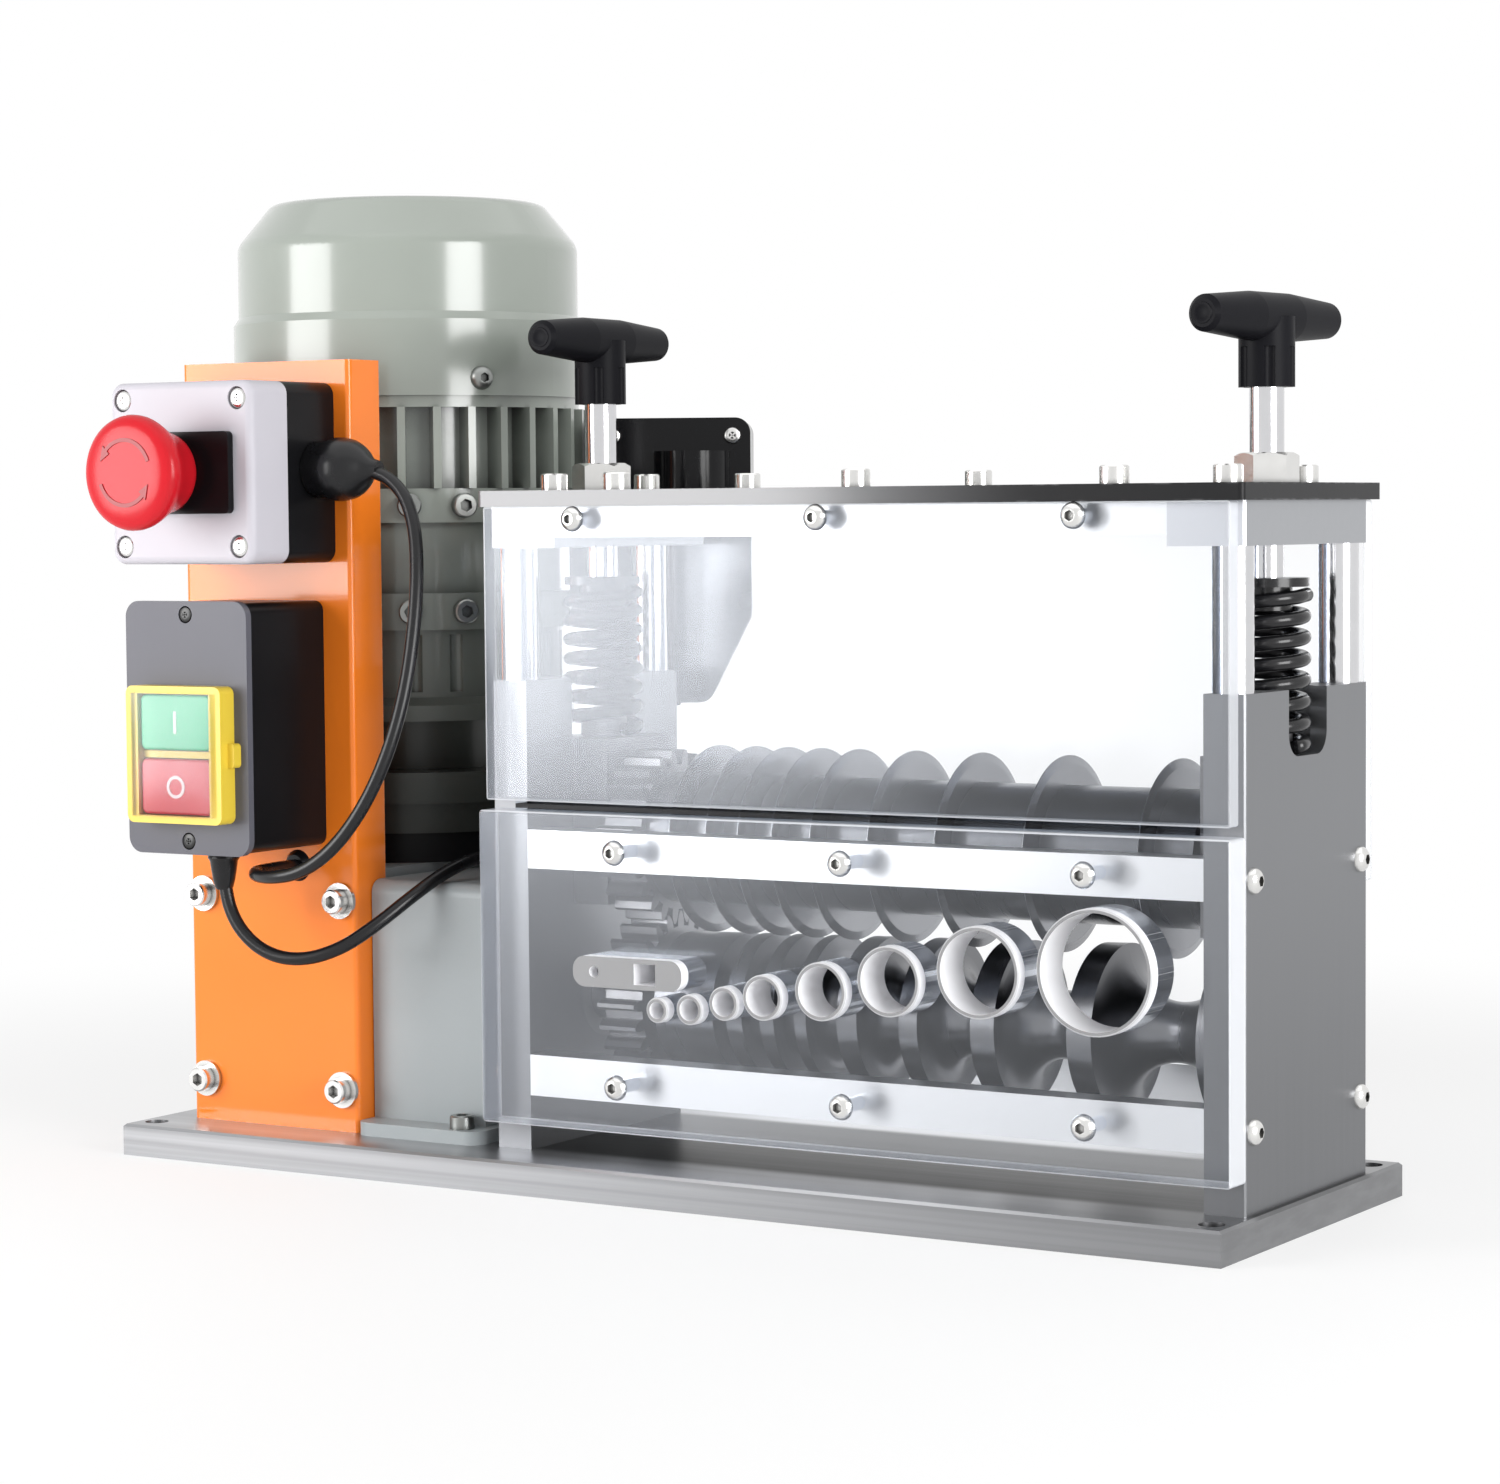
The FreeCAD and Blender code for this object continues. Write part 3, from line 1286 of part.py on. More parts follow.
def make_switch_surround():
    face_back, face_front = switch_levels()
    front = face_front - surround_depth
    half_x = surround_width / 2
    half_z = surround_height / 2
    shape = rounded_box(switch_x - half_x, switch_x + half_x, front, face_front,
                        surround_z - half_z, surround_z + half_z, Y_AXIS, 3.0)
    room_x = button_width / 2 + body_gap
    room_z = button_height / 2 + body_gap
    for z in button_places().values():
        shape = shape.cut(box(switch_x - room_x, switch_x + room_x, front - 1, face_front + 1, z - room_z, z + room_z))
    ears = rounded_box(switch_x - half_x - ear_reach, switch_x + half_x + ear_reach, face_front - ear_thick, face_front,
                       surround_z - ear_height / 2, surround_z + ear_height / 2, Y_AXIS, 1.5)
    ears = ears.cut(box(switch_x - half_x + 1, switch_x + half_x - 1, front, face_front + 1, 0, surround_z * 2))
    notch = box(switch_x - room_x, switch_x + room_x, front - 1, front + 3, surround_z - 4, surround_z + 4)
    return merged([shape.cut(notch), ears])


def make_button(name):
    face_back, face_front = switch_levels()
    front = face_front - surround_depth + button_sunk
    half = button_width / 2
    z = button_places()[name]
    tall = button_height / 2
    back = face_front - button_travel - body_gap
    shape = rounded_box(switch_x - half, switch_x + half, front, back, z - tall, z + tall, Y_AXIS, 2.5)
    return shape.makeFillet(1.0, [e for e in shape.Edges if e.BoundBox.YMax < front + 0.01])


def make_gland(place, outward, radius, length):
    nut = hexagon((0, 0, 0), radius * 0.86, length * 0.4)
    dome = Part.makeCone(radius * 0.8, lead_r + 1.6, length * 0.6, Vec(0, 0, length * 0.4))
    return turned(nut.fuse(dome).removeSplitter(), place, outward)


def make_grommet(place, outward):
    return turned(Part.makeCone(grommet_r, grommet_r * 0.7, grommet_length), place, outward)


def make_cable_glands():
    estop_end = estop_lead_points[-1]
    switch_start = switch_lead_points[0]
    switch_end = switch_lead_points[-1]
    return group([
        make_gland((estop_x + estop_size / 2, gland_seat_y, gland_seat_z), X_AXIS, estop_gland_r, estop_gland_length),
        make_gland((switch_end[0], switch_end[1], terminal_bottom), Z_AXIS * -1, gland_r,
                   terminal_bottom - switch_end[2]),
        make_grommet((estop_end[0], bracket_front, estop_end[2]), Y_AXIS * -1),
        make_grommet((switch_start[0], switch_start[1], switch_z - switch_height / 2), Z_AXIS * -1),
    ])


def make_lead(name, points):
    # straight runs joined by tangent arcs
    route = [Vec(*p) for p in points]
    edges = []
    start = route[0]
    least = 1e9
    for before, here, after in zip(route[:-2], route[1:-1], route[2:]):
        into = (here - before).normalize()
        out = (after - here).normalize()
        half_turn = into.getAngle(out) / 2
        run = 0.45 * min((here - before).Length, (after - here).Length)
        radius = run / math.tan(half_turn)
        least = min(least, radius)
        arc_start = here - into * run
        arc_end = here + out * run
        edges.append(Part.makeLine(start, arc_start))
        edges.append(arc_between(arc_start, here, arc_end))
        start = arc_end
    edges.append(Part.makeLine(start, route[-1]))
    path = Part.Wire(edges)
    first_way = (route[1] - route[0]).normalize()
    ring = Part.Wire([Part.makeCircle(lead_r, route[0], first_way)])
    shape = path.makePipeShell([ring], True, False)
    expected = math.pi * lead_r ** 2 * path.Length
    print(name, "length", round(path.Length, 1), "least bend", round(least, 1),
          "volume share", round(shape.Volume / expected, 4))
    return shape


def make_motor_bolts():
    screws = []
    for place, outward in ring_screws():
        screws.append(socket_screw(place, outward, m5_shank_r, m5_head_r, 4.0, ring_screw_length - 1))
    for place, outward in cover_screws():
        screws.append(button_screw(place, outward, cover_screw_length - 1))
    for place in foot_screw_places():
        screws.append(socket_screw(place, Z_AXIS, m5_shank_r, m5_head_r, 5.0, foot_thick - 0.5))
    return group(screws)


makers = {
    "base_plate": make_base_plate,
    "left_end_plate": lambda: make_end_plate("left"),
    "right_end_plate": lambda: make_end_plate("right"),
    "guide_posts": make_guide_posts,
    "top_blocks": make_top_blocks,
    "top_plate": make_top_plate,
    "cross_bars": make_cross_bars,
    "upper_front_guard": make_upper_front_guard,
    "lower_front_guard": make_lower_front_guard,
    "gap_seal": make_gap_seal,
    "rear_guard": make_rear_guard,
    "wire_guides": make_wire_guides,
    "tee_screw_nuts": make_tee_screw_nuts,
    "lower_bearings": make_lower_bearings,
    "top_plate_screws": make_top_plate_screws,
    "frame_screws": make_frame_screws,
    "lower_roller": make_lower_roller,
    "lower_gear": lambda: involute_gear(lower_axis_z, 90.0),
    "upper_gear": lambda: involute_gear(upper_axis_z, 90.0 + 180.0 / gear_teeth),
    "shaft_coupling": make_shaft_coupling,
    "worm_wheel": make_worm_wheel,
    "bearing_slides": make_bearing_slides,
    "upper_shaft": make_upper_shaft,
    "cutter_discs": make_cutter_discs,
    "left_spring": lambda: make_spring("left"),
    "right_spring": lambda: make_spring("right"),
    "left_spring_cap": lambda: make_spring_cap("left"),
    "right_spring_cap": lambda: make_spring_cap("right"),
    "left_tee_screw": lambda: make_tee_screw("left"),
    "right_tee_screw": lambda: make_tee_screw("right"),
    "left_tee_handle": lambda: make_tee_handle("left"),
    "right_tee_handle": lambda: make_tee_handle("right"),
    "gearbox_housing": make_gearbox_housing,
    "gearbox_cover": make_gearbox_cover,
    "coupling_housing": make_coupling_housing,
    "gearbox_input_flange": make_input_flange,
    "motor_adapter": make_motor_adapter,
    "stator_housing": make_stator_housing,
    "motor_frame": make_motor_frame,
    "stator": make_stator,
    "fan_cover": make_fan_cover,
    "motor_rotor": make_motor_rotor,
    "cooling_fan": make_cooling_fan,
    "terminal_box": make_terminal_box,
    "terminal_box_lid": make_terminal_lid,
    "control_bracket": make_control_bracket,
    "bracket_screws": make_bracket_screws,
    "estop_base": make_estop_base,
    "estop_lid": make_estop_lid,
    "estop_collar": make_estop_collar,
    "estop_button": make_estop_button,
    "switch_box": make_switch_box,
    "switch_face_plate": make_switch_face,
    "switch_surround": make_switch_surround,
    "start_button": lambda: make_button("start_button"),
    "stop_button": lambda: make_button("stop_button"),
    "cable_glands": make_cable_glands,
    "estop_lead": lambda: make_lead("estop_lead", estop_lead_points),
    "switch_lead": lambda: make_lead("switch_lead", switch_lead_points),
    "motor_bolts": make_motor_bolts,
}

os.makedirs("parts", exist_ok=True)
for name, maker in makers.items():
    shape = maker()
    if not shape.isValid() or shape.Volume <= 0:
        print("check", name, shape.isValid(), shape.Volume)
    shape.exportStep(os.path.join("parts", name + ".step"))
print("sub-parts written:", len(makers))
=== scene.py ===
import json
import math

import bmesh
import bpy
from mathutils import Matrix, Vector


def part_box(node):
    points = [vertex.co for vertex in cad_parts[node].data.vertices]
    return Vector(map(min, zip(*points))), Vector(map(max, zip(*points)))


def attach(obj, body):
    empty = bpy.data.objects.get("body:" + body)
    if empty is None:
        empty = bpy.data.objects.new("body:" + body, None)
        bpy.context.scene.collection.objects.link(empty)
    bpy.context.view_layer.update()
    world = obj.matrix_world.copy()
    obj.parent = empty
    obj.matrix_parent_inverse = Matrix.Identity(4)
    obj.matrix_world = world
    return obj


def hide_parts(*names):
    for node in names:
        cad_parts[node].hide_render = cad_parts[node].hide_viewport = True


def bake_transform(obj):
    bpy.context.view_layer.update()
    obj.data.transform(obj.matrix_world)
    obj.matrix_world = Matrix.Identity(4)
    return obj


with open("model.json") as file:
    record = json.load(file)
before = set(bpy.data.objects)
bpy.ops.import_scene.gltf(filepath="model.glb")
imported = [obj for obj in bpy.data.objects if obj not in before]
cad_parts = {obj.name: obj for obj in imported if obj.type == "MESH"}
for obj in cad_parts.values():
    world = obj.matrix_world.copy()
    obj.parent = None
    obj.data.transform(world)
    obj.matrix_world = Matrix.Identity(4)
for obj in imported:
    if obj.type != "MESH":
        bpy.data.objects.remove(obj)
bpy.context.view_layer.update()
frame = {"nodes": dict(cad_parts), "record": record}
nodes = frame["nodes"]

# Sizes here are in metres, in the row frame.


# Camera
cameraValues = {
    "place": (0.7502, -1.2038, 0.2441),
    "azimuth": 31.7,
    "down": 3.4,
    "roll": -0.0083,
    "lens": 93.0,
}


def makeCamera(v):
    azimuth = math.radians(v["azimuth"])
    down = math.radians(v["down"])
    level = math.cos(down)
    look = Vector((-math.sin(azimuth) * level, math.cos(azimuth) * level, -math.sin(down)))
    turn = look.to_track_quat("-Z", "Y").to_matrix().to_4x4()
    data = bpy.data.cameras.new("camera")
    data.lens = v["lens"]
    data.sensor_width = 36.0
    data.sensor_fit = "HORIZONTAL"
    data.clip_start = 0.01
    data.clip_end = 50
    camera = bpy.data.objects.new("camera", data)
    camera.matrix_world = Matrix.Translation(v["place"]) @ turn @ Matrix.Rotation(v["roll"], 4, "Z")
    bpy.context.scene.collection.objects.link(camera)
    bpy.context.scene.camera = camera


makeCamera(cameraValues)
print("camera set")


# Shader graphs: a wire is a socket that can be summed, a graph adds the nodes
class Wire:
    def __init__(self, graph, socket):
        self.graph = graph
        self.socket = socket

    def maths(self, operation, other=None, swapped=False):
        pair = {0: other, 1: self} if swapped else {0: self, 1: other}
        return self.graph.node("ShaderNodeMath", {"operation": operation}, pair)

    def __add__(self, other):
        return self.maths("ADD", other)

    def __radd__(self, other):
        return self.maths("ADD", other)

    def __sub__(self, other):
        return self.maths("SUBTRACT", other)

    def __rsub__(self, other):
        return self.maths("SUBTRACT", other, swapped=True)

    def __mul__(self, other):
        return self.maths("MULTIPLY", other)

    def __rmul__(self, other):
        return self.maths("MULTIPLY", other)

    def size(self):
        return self.maths("ABSOLUTE")

    def largest(self, other):
        return self.maths("MAXIMUM", other)

    def ramp(self, low, high):
        # 0 below low, 1 above high, smooth between
        sockets = {"Value": self, "From Min": low, "From Max": high}
        return self.graph.node("ShaderNodeMapRange", {"interpolation_type": "SMOOTHSTEP"}, sockets)


class Graph:
    def __init__(self, tree):
        self.tree = tree

    def feed(self, socket, value):
        if isinstance(value, Wire):
            self.tree.links.new(value.socket, socket)
        elif value is None:
            return
        elif socket.type == "RGBA" and len(value) == 3:
            socket.default_value = (*value, 1.0)
        else:
            socket.default_value = value

    def node(self, kind, settings=None, sockets=None, out=0):
        made = self.tree.nodes.new(kind)
        for name, value in (settings or {}).items():
            setattr(made, name, value)
        for key, value in (sockets or {}).items():
            self.feed(made.inputs[key], value)
        return Wire(self, made.outputs[out])

    def blend(self, share, first, second):
        return self.node("ShaderNodeMixShader", None, {0: share, 1: first, 2: second})

    def rays(self):
        # 1 where the background is seen, by the camera, in a reflection or through glass
        path = "ShaderNodeLightPath"
        straight = self.node(path, out="Is Camera Ray").largest(self.node(path, out="Is Glossy Ray"))
        return straight.largest(self.node(path, out="Is Transmission Ray"))

    def tint(self, share, first, second):
        return self.node("ShaderNodeMix", {"data_type": "RGBA"}, {0: share, 6: first, 7: second}, out=2)


class Finish(Graph):
    def __init__(self, name, colour, roughness, metallic=0.0, **values):
        self.material = bpy.data.materials.new(name)
        self.material.use_nodes = True
        super().__init__(self.material.node_tree)
        self.shader = self.tree.nodes["Principled BSDF"]
        self.output = self.tree.nodes["Material Output"]
        self.feed(self.shader.inputs["Base Color"], colour)
        self.shader.inputs["Roughness"].default_value = roughness
        self.shader.inputs["Metallic"].default_value = metallic
        for key, value in values.items():
            self.shader.inputs[key.replace("_", " ")].default_value = value
        self.coords = self.node("ShaderNodeTexCoord", out="Object")
        self.bumps = None

    def noise(self, scale, detail=3.0, rough=0.55):
        scale = scale if hasattr(scale, "__len__") else (scale, scale, scale)
        spread = self.node("ShaderNodeMapping", None, {"Vector": self.coords, "Scale": scale})
        sockets = {"Vector": spread, "Scale": 1.0, "Detail": detail, "Roughness": rough}
        return self.node("ShaderNodeTexNoise", None, sockets)

    def along(self, index):
        return self.node("ShaderNodeSeparateXYZ", None, {"Vector": self.coords}, out=index)

    def facing(self, index):
        normal = self.node("ShaderNodeTexCoord", out="Normal")
        return self.node("ShaderNodeSeparateXYZ", None, {"Vector": normal}, out=index)

    def corner(self, width):
        # 1 on outer corners, from a bevelled normal against the flat one
        soft = self.node("ShaderNodeBevel", {"samples": 4}, {"Radius": width})
        flat = self.node("ShaderNodeNewGeometry", out="Normal")
        settings = {"operation": "DOT_PRODUCT"}
        level = self.node("ShaderNodeVectorMath", settings, {0: soft, 1: flat}, out="Value")
        return (1.0 - level).ramp(0.01, 0.22)

    def recess(self, reach):
        # 1 in the open, towards 0 down in sockets and seams, where it paints shade
        shadow = self.node("ShaderNodeAmbientOcclusion", {"samples": 6}, {"Distance": reach}, out="AO")
        return shadow.ramp(0.1, 0.85)

    def into(self, name, wire):
        self.feed(self.shader.inputs[name], wire)
        return self

    def bump(self, wire, height, strength=1.0):
        sockets = {"Height": wire, "Distance": height, "Strength": strength, "Normal": self.bumps}
        self.bumps = self.node("ShaderNodeBump", None, sockets)
        return self.into("Normal", self.bumps)


def shade(colour, factor):
    return tuple(min(1.0, c * factor) for c in colour)


def brushed(name, colour, roughness, grain, spread=0.12, depth=0.14, sides=None, deep=None):
    # grain is the noise scale along X, Y and Z: small along the brushing, large across it
    # sides is the colour painted on faces towards X as painted shade, deep the reach of the painted shade in
    # sockets and seams
    f = Finish(name, colour, roughness, 1.0)
    streaks = f.noise(grain, 4.0, 0.7)
    clouds = f.noise(14.0)
    metal = f.tint((streaks + clouds) * 0.5, shade(colour, 1 - depth), shade(colour, 1 + depth))
    # painted shade: faces towards X take the darker sides colour
    if sides is not None:
        metal = f.tint(f.facing(0).size().ramp(0.5, 0.9), metal, sides)
    if deep is not None:
        # painted shade: sockets and seams darkened towards a near-black copy of the colour
        metal = f.tint(f.recess(deep), shade(colour, 0.06), metal)
    f.into("Base Color", metal)
    f.into("Roughness", (streaks - 0.5) * spread + (clouds - 0.5) * (spread * 0.8) + roughness)
    f.bump(streaks, 0.00002, 0.6)
    return f.material


def enamel(name, colour, roughness, coat, peel=0.00004, speck=0.04, worn=None, shine=0.3):
    f = Finish(name, colour, roughness, Coat_Weight=coat, Coat_Roughness=0.10, Specular_IOR_Level=shine)
    clouds = f.noise(22.0, 4.0)
    paint = f.tint(clouds, shade(colour, 1 - speck), shade(colour, 1 + speck))
    if worn is not None:
        wearAndSheen = f.corner(0.0012) * f.noise(160.0).ramp(0.48, 0.62)
        paint = f.tint(wearAndSheen * 0.5, paint, worn)
    f.into("Base Color", paint)
    f.into("Roughness", (clouds - 0.5) * 0.12 + roughness)
    f.bump(f.noise(420.0, 2.0), peel, 0.5)
    return f.material


def castPaint(name, colour, v):
    # paint over a casting, glossy on the spun cover and dull below it, with painted shade darkening it below
    # the cover and in its grooves
    f = Finish(name, colour, v["roughness"], Coat_Roughness=v["coatRoughness"], Specular_IOR_Level=v["shine"])
    clouds = f.noise(22.0, 4.0)
    paint = f.tint(clouds, shade(colour, 0.96), shade(colour, 1.04))
    upper = f.along(2).ramp(v["lowest"], v["highest"])
    # painted shade down in the fin grooves and seams
    paint = f.tint(f.recess(v["grooveReach"]), shade(colour, v["grooveShade"]), paint)
    # painted shade below the cover, darker towards the bottom
    f.into("Base Color", f.tint(upper, shade(colour, v["paintedShadeBelow"]), paint))
    f.into("Coat Weight", upper * v["coat"])
    f.into("Roughness", (clouds - 0.5) * 0.12 + v["roughness"])
    f.bump(f.noise(420.0, 2.0), v["peel"], 0.5)
    return f.material


def moulded(name, colour, roughness, grain=0.00003, speck=0.10, shine=0.5):
    f = Finish(name, colour, roughness, Specular_IOR_Level=shine)
    clouds = f.noise(30.0)
    f.into("Base Color", f.tint(clouds, shade(colour, 1 - speck), shade(colour, 1 + speck)))
    f.into("Roughness", (clouds - 0.5) * 0.14 + roughness)
    f.bump(f.noise(1500.0, 2.0), grain, 0.45)
    return f.material


clearValues = {
    "through": (0.993, 0.996, 1.0),
    "mirror": (0.90, 0.935, 1.0),
    "index": 1.46,
    "edge": (0.84, 0.86, 0.90),
    "rim": 0.0007,
    # the next four values give the colour, strength and left-to-right reach of a painted reflection: a pale
    # veil at the sheets' left end
    "paintedVeilColour": (0.86, 0.89, 0.96),
    "paintedVeilMost": 0.03,
    "paintedVeilLeft": -0.02,
    "paintedVeilRight": 0.12,
    "blur": 0.22,
}


def reachOf(piece, index):
    # middle and half length of a piece along one axis
    places = [vert.co[index] for vert in piece.data.vertices]
    return (min(places) + max(places)) / 2, (max(places) - min(places)) / 2


def clearSheet(name, v, piece=None, edgeShare=0.0):
    # clear sheet: mirror by Fresnel on its faces, a faint painted reflection as a pale veil at its left end,
    # light-filled cut edges
    f = Finish(name, v["mirror"], v["blur"], 1.0)
    through = f.node("ShaderNodeBsdfTransparent", None, {"Color": v["through"]})
    gloss = f.node("ShaderNodeFresnel", None, {"IOR": v["index"]})
    smears = f.noise((9.0, 9.0, 5.0), 4.0).ramp(0.45, 0.8) * 0.012
    pane = f.blend(gloss + smears, through, Wire(f, f.shader.outputs[0]))
    if piece is not None:
        # painted reflection: a pale diffuse veil over the sheet, strongest at its left end
        paintedVeil = f.node("ShaderNodeBsdfPrincipled", None, {"Base Color": v["paintedVeilColour"], "Roughness": 0.5})
        fade = (1.0 - f.along(0).ramp(v["paintedVeilLeft"], v["paintedVeilRight"])) * v["paintedVeilMost"]
        pane = f.blend(fade * (f.noise((14.0, 14.0, 3.0)) * 0.5 + 0.75), pane, paintedVeil)
        cut = f.node("ShaderNodeBsdfPrincipled", None, {"Base Color": v["edge"], "Roughness": 0.2})
        edge = f.blend(edgeShare, through, cut)
        onEdge = None
        for index in (0, 2):
            middle, half = reachOf(piece, index)
            near = (f.along(index) - middle).size().ramp(half - v["rim"], half - v["rim"] * 0.7)
            onEdge = near if onEdge is None else onEdge.largest(near)
        pane = f.blend(onEdge, pane, edge)
    f.feed(f.output.inputs["Surface"], pane)
    return f.material


stripValues = {
    "share": 0.95,
    "fade": 0.60,
    "half": 0.0007,
}


def smokedStrip(name, v, piece):
    # dark strip between the sheets, thin at its middle and paler to the right
    f = Finish(name, (0.012, 0.012, 0.014), 0.4, Specular_IOR_Level=0.2)
    through = f.node("ShaderNodeBsdfTransparent", None, {"Color": (0.9, 0.92, 0.94)})
    middle = reachOf(piece, 2)[0]
    line = 1.0 - (f.along(2) - middle).size().ramp(v["half"], v["half"] * 1.3)
    share = line * (v["share"] - f.along(0).ramp(-0.03, 0.17) * v["fade"])
    f.feed(f.output.inputs["Surface"], f.blend(share, through, Wire(f, f.shader.outputs[0])))
    return f.material


def groundPlate(name, colour, roughness):
    # flat-ground faces with upright grain, with painted shade making them a little darker towards the bottom
    f = Finish(name, colour, roughness, 1.0)
    streaks = f.noise((420, 420, 9), 4.0, 0.7)
    clouds = f.noise(9.0)
    face = f.tint((streaks + clouds) * 0.5, shade(colour, 0.9), shade(colour, 1.12))
    # painted shade: darker towards the bottom
    upper = f.along(2).ramp(0.02, 0.16)
    f.into("Base Color", f.tint(upper, shade(colour, 0.8), face))
    f.into("Roughness", (streaks - 0.5) * 0.1 + (clouds - 0.5) * 0.1 + roughness)
    f.bump(streaks, 0.00002, 0.5)
    return f.material


def basePlate(name, colour, roughness):
    # long mill streaks and darker bands as rolled bar has; painted shade darkens it to the right, a painted
    # reflection brightens its top towards the left, and painted shade darkens its top under the rollers
    f = Finish(name, colour, roughness, 1.0)
    streaks = f.noise((3, 420, 420), 5.0, 0.75)
    bands = f.noise((1.2, 60, 260), 2.0)
    tone = streaks * 0.5 + bands.ramp(0.35, 0.7) * 0.5
    steel = f.tint(tone, shade(colour, 0.66), shade(colour, 1.15))
    # painted shade: darker towards the right
    steel = f.tint(f.along(0).ramp(-0.2, 0.27) * 0.7, steel, shade(colour, 0.36))
    # painted reflection: top faces towards the left brightened
    wearAndSheen = f.facing(2).ramp(0.5, 0.9) * (1.0 - f.along(0).ramp(0.1, 0.22)) * f.along(0).ramp(-0.08, 0.0)
    steel = f.tint(wearAndSheen * (tone * 0.7 + 0.45), steel, shade(colour, 2.0))
    # painted shade: the top under the rollers darkened
    paintedShadeUnder = (1.0 - f.along(1).size().ramp(0.044, 0.052)) * f.along(0).ramp(-0.075, -0.065)
    f.into("Base Color", f.tint(paintedShadeUnder * f.facing(2).ramp(0.5, 0.9), steel, shade(colour, 0.12)))
    f.into("Roughness", (streaks - 0.5) * 0.16 + roughness)
    f.bump(streaks, 0.00003, 0.6)
    return f.material


def platePaint(name, colour, worn):
    # dark paint on the top plate, glossier along its front left, where a painted reflection also lightens its
    # front faces
    f = Finish(name, colour, 0.32, Coat_Roughness=0.12, Specular_IOR_Level=0.15)
    clouds = f.noise(22.0, 4.0)
    paint = f.tint(clouds, shade(colour, 0.9), shade(colour, 1.1))
    # painted reflection: front faces on the left lightened towards the worn colour
    paintedFrontSheen = (1.0 - f.along(0).ramp(0.04, 0.16)) * (1.0 - f.facing(1).ramp(-0.9, -0.5))
    wearAndSheen = f.corner(0.0012) * f.noise(160.0).ramp(0.48, 0.62) * 0.5
    f.into("Base Color", f.tint(wearAndSheen.largest(paintedFrontSheen * 0.66), paint, worn))
    f.into("Coat Weight", paintedFrontSheen)
    f.into("Roughness", (clouds - 0.5) * 0.12 + 0.32)
    f.bump(f.noise(420.0, 2.0), 0.00004, 0.5)
    return f.material


def guideSteel(name, colour):
    # turned bushes: painted shade greys the front lip, painted light keeps the bore pale and bright
    f = Finish(name, colour, 0.3, 0.0, Specular_IOR_Level=0.6)
    turned = f.noise((160, 600, 160), 3.0)
    paintedLipShade = f.facing(1).size().ramp(0.5, 0.9)
    f.into("Base Color", f.tint(paintedLipShade, shade(colour, 1.1), shade(colour, 0.30)))
    f.into("Roughness", (turned - 0.5) * 0.1 + 0.3)
    f.bump(turned, 0.00002, 0.5)
    return f.material


paintValues = {
    "roughness": 0.30,
    "coat": 1.0,
    "coatRoughness": 0.15,
    "shine": 0.25,
    # lowest to highest is where the painted shade below the cover fades out; the groove values paint shade
    # into the fin grooves
    "lowest": 0.120,
    "highest": 0.270,
    "paintedShadeBelow": 0.15,
    "peel": 0.00003,
    "grooveReach": 0.012,
    "grooveShade": 0.25,
}

